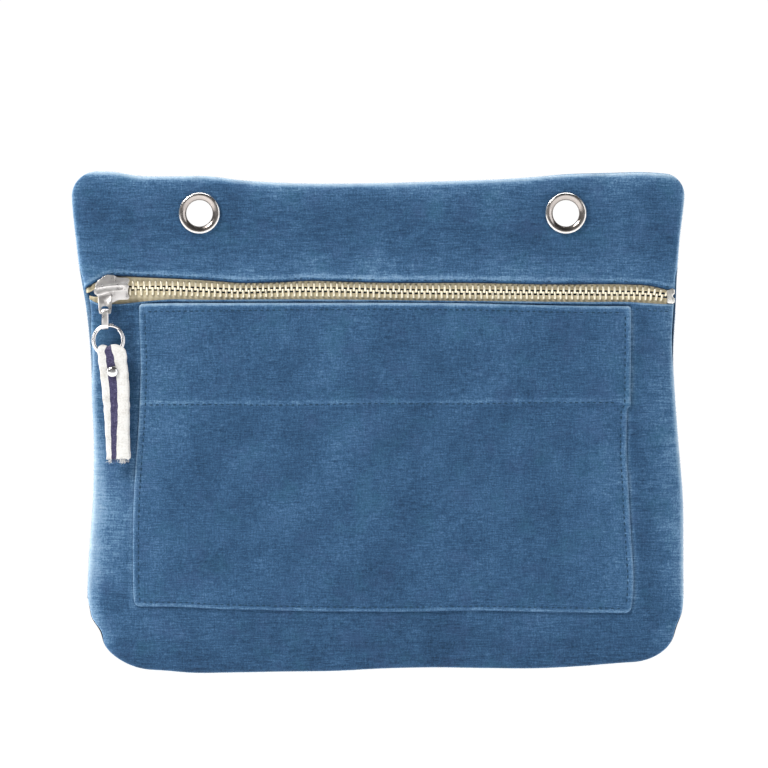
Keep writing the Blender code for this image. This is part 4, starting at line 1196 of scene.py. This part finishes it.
def link():
    """A flat strip wrapped into a loop over the tab's bar and under the ring."""
    lo, _, c = box_mm("pull_link")
    y, z0, z1, cx = LINK_AXIS[1], LINK_AXIS[2], lo[2] + 3.2, c[0] - 0.05
    path = [(y + 1.55 * math.cos(t), z0 + 1.5 * math.sin(t)) for t in np.linspace(0, math.pi, 13)]
    path += [(y + 1.7 * math.cos(t), z1 + 1.75 * math.sin(t)) for t in np.linspace(math.pi, 2 * math.pi, 17)]
    path = np.array(path)
    way = unit(np.roll(path, -1, 0) - np.roll(path, 1, 0))
    f = (path[:, 1] - z1) / (z0 - z1)
    half = 1.38 - 0.28 * bell(f - 0.45, 0.25) + 0.10 * (f < 0.1)
    section = ((-1, -0.6), (-0.86, -1), (0.86, -1), (1, -0.6), (1, 0.6), (0.86, 1), (-0.86, 1), (-1, 0.6))
    rings = [[(cx + u * h, p[0] + d[1] * v * 0.29, p[1] - d[0] * v * 0.29) for u, v in section]
             for p, d, h in zip(path, way, half)]
    return sharpen(loft("link_strip", rings, NICKEL, loop=True), 50)


def split_ring():
    """Two turns of flat wire; the second lies beside the first."""
    lo, hi, c = box_mm("split_ring")
    turns = np.linspace(0, 1.93, 190)
    t = 2 * math.pi * turns + 1.25
    side = np.tanh((turns - 0.97) * 14)
    rad = (hi[0] - lo[0]) / 2 - 0.72 - 0.26 * side
    path = np.stack([c[0] + rad * np.cos(t), c[1] - 0.40 * side, c[2] + rad * np.sin(t)], 1)
    return sharpen(tube("ring_coil", path, 0.46, BRIGHT, 14, flat=(1.30, 0.86)), 60)


stands_for(pull(), "pull_tab", "pull")
stands_for(link(), "pull_link", "link")
ring = stands_for(split_ring(), "split_ring", "ring")

# ---- strap tab
SY = box_mm("strap_tab")[2][1]  # depth of the tape's middle
# heights, then at each the tape's edges and its stripe's edges
ST_Z = (-60.2, -61.2, -62.6, -65, -69, -73, -78, -83, -93, -103, -113)
ST_L = (-129.3, -130.0, -130.2, -130.0, -129.5, -129.0, -128.4, -127.9, -127.0, -126.4, -125.9)
ST_R = (-121.3, -118.6, -117.2, -116.8, -116.5, -116.3, -116.0, -115.8, -115.8, -115.7, -115.2)
SP_L = (-125.6, -126.0, -126.8, -126.4, -125.8, -125.4, -124.9, -124.4, -124.1, -123.9, -123.7)
SP_R = (-123.9, -123.7, -123.3, -122.5, -121.6, -121.2, -120.9, -120.7, -120.6, -121.1, -121.3)


def strap_part():
    """Cotton tape folded over the ring: front layer, fold and back layer in one soft band."""
    half, near = 2.0, 0.28
    front = []
    for z in (-113.0, -111, -108, -104, -100, -96, -92, -88, -84, -80, -77, -74.5, -72.3, -70.5, -69.3, -68.4, -67.5,
              -66.6, -65.6, -64.6, -63.6, -62.7, -61.9, -61.2):
        gap = near + (half - near) * float(ease(-69.6, -65.6, z))
        if z > -62.0:
            gap = half * math.sqrt(1 - ((z + 62.2) / 1.55) ** 2)
        front.append((-gap, z))
    path = np.array(front + [(-0.75, -60.72), (0.0, -60.6), (0.75, -60.72)] + [(-u, w) for u, w in reversed(front)])
    d = unit(np.gradient(path, axis=0))
    f = np.concatenate([(0, 0.02, 0.05, 0.10, 0.18, 0.27, 0.33, 0.345, 0.36), np.linspace(0.42, 0.58, 4),
                        (0.64, 0.655, 0.67, 0.73, 0.82, 0.90, 0.95, 0.98, 1.0)])  # places across the tape
    n, nc = len(path), len(f)
    fray = rng.normal(0, 0.35, (2, nc))
    faces = np.zeros((2, n, nc, 3))
    for i, (u, w) in enumerate(path):
        rear = int(i >= n / 2)
        l, r, a, b = (float(curve(ST_Z, xs, w)) for xs in (ST_L, ST_R, SP_L, SP_R))
        if rear:
            sh = 0.45 * float(ease(-64, -75, w))
            l, r, a, b = l + sh + 0.2, r + sh, a + sh, b + sh
        x = np.where(f < 0.345, l + (a - l) * f / 0.345,
                     np.where(f > 0.655, b + (r - b) * (f - 0.655) / 0.345, a + (b - a) * (f - 0.345) / 0.31))
        lobes = 0.18 * bell(f - 0.18, 0.1) + 0.22 * bell(f - 0.82, 0.1) - 0.12 * bell(f - 0.5, 0.12)
        thick = (0.44 + lobes * (1.0 if w > -104 else 0.6)) * roll(np.minimum(f, 1 - f), 0.07)
        bow = (0.16 * np.sin(w * 0.21 + 3 * f) + 0.10 * np.sin(w * 0.5 + f * 5)) * (1 if w < -75 else 0.25)
        y, z = SY + u + bow * (-0.25 if rear else 0.5), w + 0 * f
        if w > -62.4:
            dip = 0.55 * bell(f - 0.42, 0.10) + 0.35 * bell(f, 0.08) - 0.25 * bell(f - 0.75, 0.2)
            z = z - dip * ease(-62.4, -60.7, w)
        if i in (0, n - 1):
            z, thick = z + fray[rear] + 0.6 * rear, thick * 0.0
        elif i in (1, n - 2):
            z = z + 0.3 * fray[rear]
        ny, nz = -d[i, 1], d[i, 0]
        for k, t in enumerate((thick, -0.8 * thick)):
            faces[k, i] = np.stack([x, y + ny * t, z + nz * t], 1)
    for edge in (0, -1):
        faces[0][:, edge] = faces[:, :, edge].mean(0)
    stripe = np.zeros((n - 1, nc - 1), int)
    stripe[:, 7:13] = 1
    ob = outward(two_faced("strap_cloth", *faces, [COTTON, NAVY], np.tile(stripe.ravel(), 2)))
    smooth = ob.modifiers.new("smooth", "SUBSURF")
    smooth.levels = smooth.render_levels = 2
    bake(ob)
    ob.data.polygons.foreach_set("use_smooth", [True] * len(ob.data.polygons))
    co = points_mm(ob)
    co[:, 1] += waves(co[:, 0], co[:, 2], 77, (2.6, 1.4), 0.05)
    co[:, 0] += waves(co[:, 0] * 0, co[:, 2], 78, (7, 3.5), 0.10)
    move_points(ob, co)
    return ob


def loose_threads():
    """Short fibres at the tape's cut ends."""
    bits = []
    for _ in range(46):
        front = rng.random() < 0.65
        x = rng.uniform(-125.4, -115.6)
        z = -112.7 + rng.normal(0, 0.25)
        y = SY + (-0.5 if front else 0.45) + rng.normal(0, 0.15)
        ln = rng.uniform(0.5, 1.7)
        path = [[x, y, z + 0.5], [x + rng.normal(0, 0.1), y, z - 0.2 * ln],
                [x + rng.normal(0, 0.3), y + rng.normal(0, 0.15), z - 0.6 * ln],
                [x + rng.normal(0, 0.55), y + rng.normal(0, 0.25), z - ln]]
        mat = NAVY if -123.6 < x < -121.4 else COTTON
        bits.append(tube("fray", path, [0.10, 0.09, 0.08, 0.05], mat, 5, up=(0.1, -1, 0.1)))
    return join("strap_fray", bits)


strap = stands_for(strap_part(), "strap_tab", "strap")
fray = loose_threads()
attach(fray, "strap")


def rivet_section(part, lo, hi):
    """(radius, depth) of the rivet's dome, or of its post and back flange."""
    r, y0, y1 = (hi[0] - lo[0]) / 2, lo[1], hi[1]
    if part == "cap":
        return [(0.001, y0 + 0.02), (1.2, y0 + 0.05), (2.2, y0 + 0.5), (r, y1 - 0.25), (r - 0.05, y1), (1.4, y1),
                (1.4, y1 - 0.3), (0.001, y1 - 0.3)]
    return [(0.001, y0), (1.0, y0), (1.0, y1 - 0.75), (r, y1 - 0.6), (r, y1 - 0.25), (r - 0.6, y1), (0.001, y1)]


for part in ("cap", "post"):
    lo, hi, at = box_mm("strap_rivet_" + part)
    section = smooth_profile(rivet_section(part, lo, hi), 2, False)
    stands_for(sharpen(lathe("rivet_" + part, section, at, 48, BRIGHT, False), 50), "strap_rivet_" + part, "strap")

# ---- floor, light, camera
FLOOR_Z, FLOOR_HALF = -330, 4000
white = Nodes("floor_white").set(Base_Color=(0.80, 0.80, 0.80), Roughness=0.9, Specular_IOR_Level=0.1,
                                 Emission_Color=(1.0, 1.0, 1.0), Emission_Strength=0.80)
floor = new_object("floor", [(x, y, FLOOR_Z) for x, y in rect(-FLOOR_HALF, FLOOR_HALF, -FLOOR_HALF, FLOOR_HALF)],
                   [[0, 1, 2, 3]], [white])
floor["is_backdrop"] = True

studio = Nodes("studio", world=True)
bpy.context.scene.world = studio.m
xyz = studio.add("ShaderNodeSeparateXYZ")
studio.link(studio.co.outputs["Generated"], xyz.inputs[0])
BANDS = ((0.30, 0.40), (0.46, 1.03), (0.58, 1.03), (0.70, 0.35), (0.84, 0.22), (1.0, 0.50))  # height, grey
studio.set(Color=studio.ramp(studio.span(xyz.outputs[2], -1.0, 1.0, 0.0, 1.0),
                             [(0.0, (0.20, 0.21, 0.22))] + [(at, (v, v, v)) for at, v in BANDS]),
           Strength=studio.span(xyz.outputs[1], -0.45, 0.65, 0.30, 1.0))


def area(name, loc, size, power, color=(1, 1, 1)):
    """Rectangular lamp that faces the middle of the bag."""
    lamp = bpy.data.lights.new(name, "AREA")
    lamp.shape = "RECTANGLE"
    lamp.size, lamp.size_y = size
    lamp.energy, lamp.color = power, color
    ob = bpy.data.objects.new(name, lamp)
    bpy.context.scene.collection.objects.link(ob)
    ob.location = loc
    ob.rotation_mode = "QUATERNION"
    ob.rotation_quaternion = (Vector((CAD_LO + CAD_HI) / 2) - Vector(loc)).to_track_quat("-Z", "Y")


area("key", (-0.95, -0.85, 1.05), (0.55, 0.55), 34.0, (1.0, 0.985, 0.96))
area("fill", (1.5, -1.2, 0.3), (1.2, 1.2), 9.0, (0.97, 0.985, 1.0))
area("rim_left", (-1.1, 0.30, 0.25), (0.5, 1.2), 12.0)
area("rim_right", (1.1, 0.45, 0.3), (0.5, 1.2), 7.0)
area("rim_top", (0.0, 0.15, 1.3), (1.2, 0.5), 12.0)

DIST, VIEW = 4.0, 0.3508  # camera distance and width of the view at the bag, m
lens = bpy.data.cameras.new("camera")
lens.lens = lens.sensor_width * DIST / VIEW
lens.clip_start, lens.clip_end = 0.05, 50
cam = bpy.data.objects.new("camera", lens)
bpy.context.scene.collection.objects.link(cam)
cam.location = (0.0006, -DIST - 0.005, -0.0780)
cam.rotation_euler = (math.pi / 2, 0, 0)
bpy.context.scene.camera = cam
bpy.context.scene.view_settings.view_transform = "Standard"

lo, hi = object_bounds()
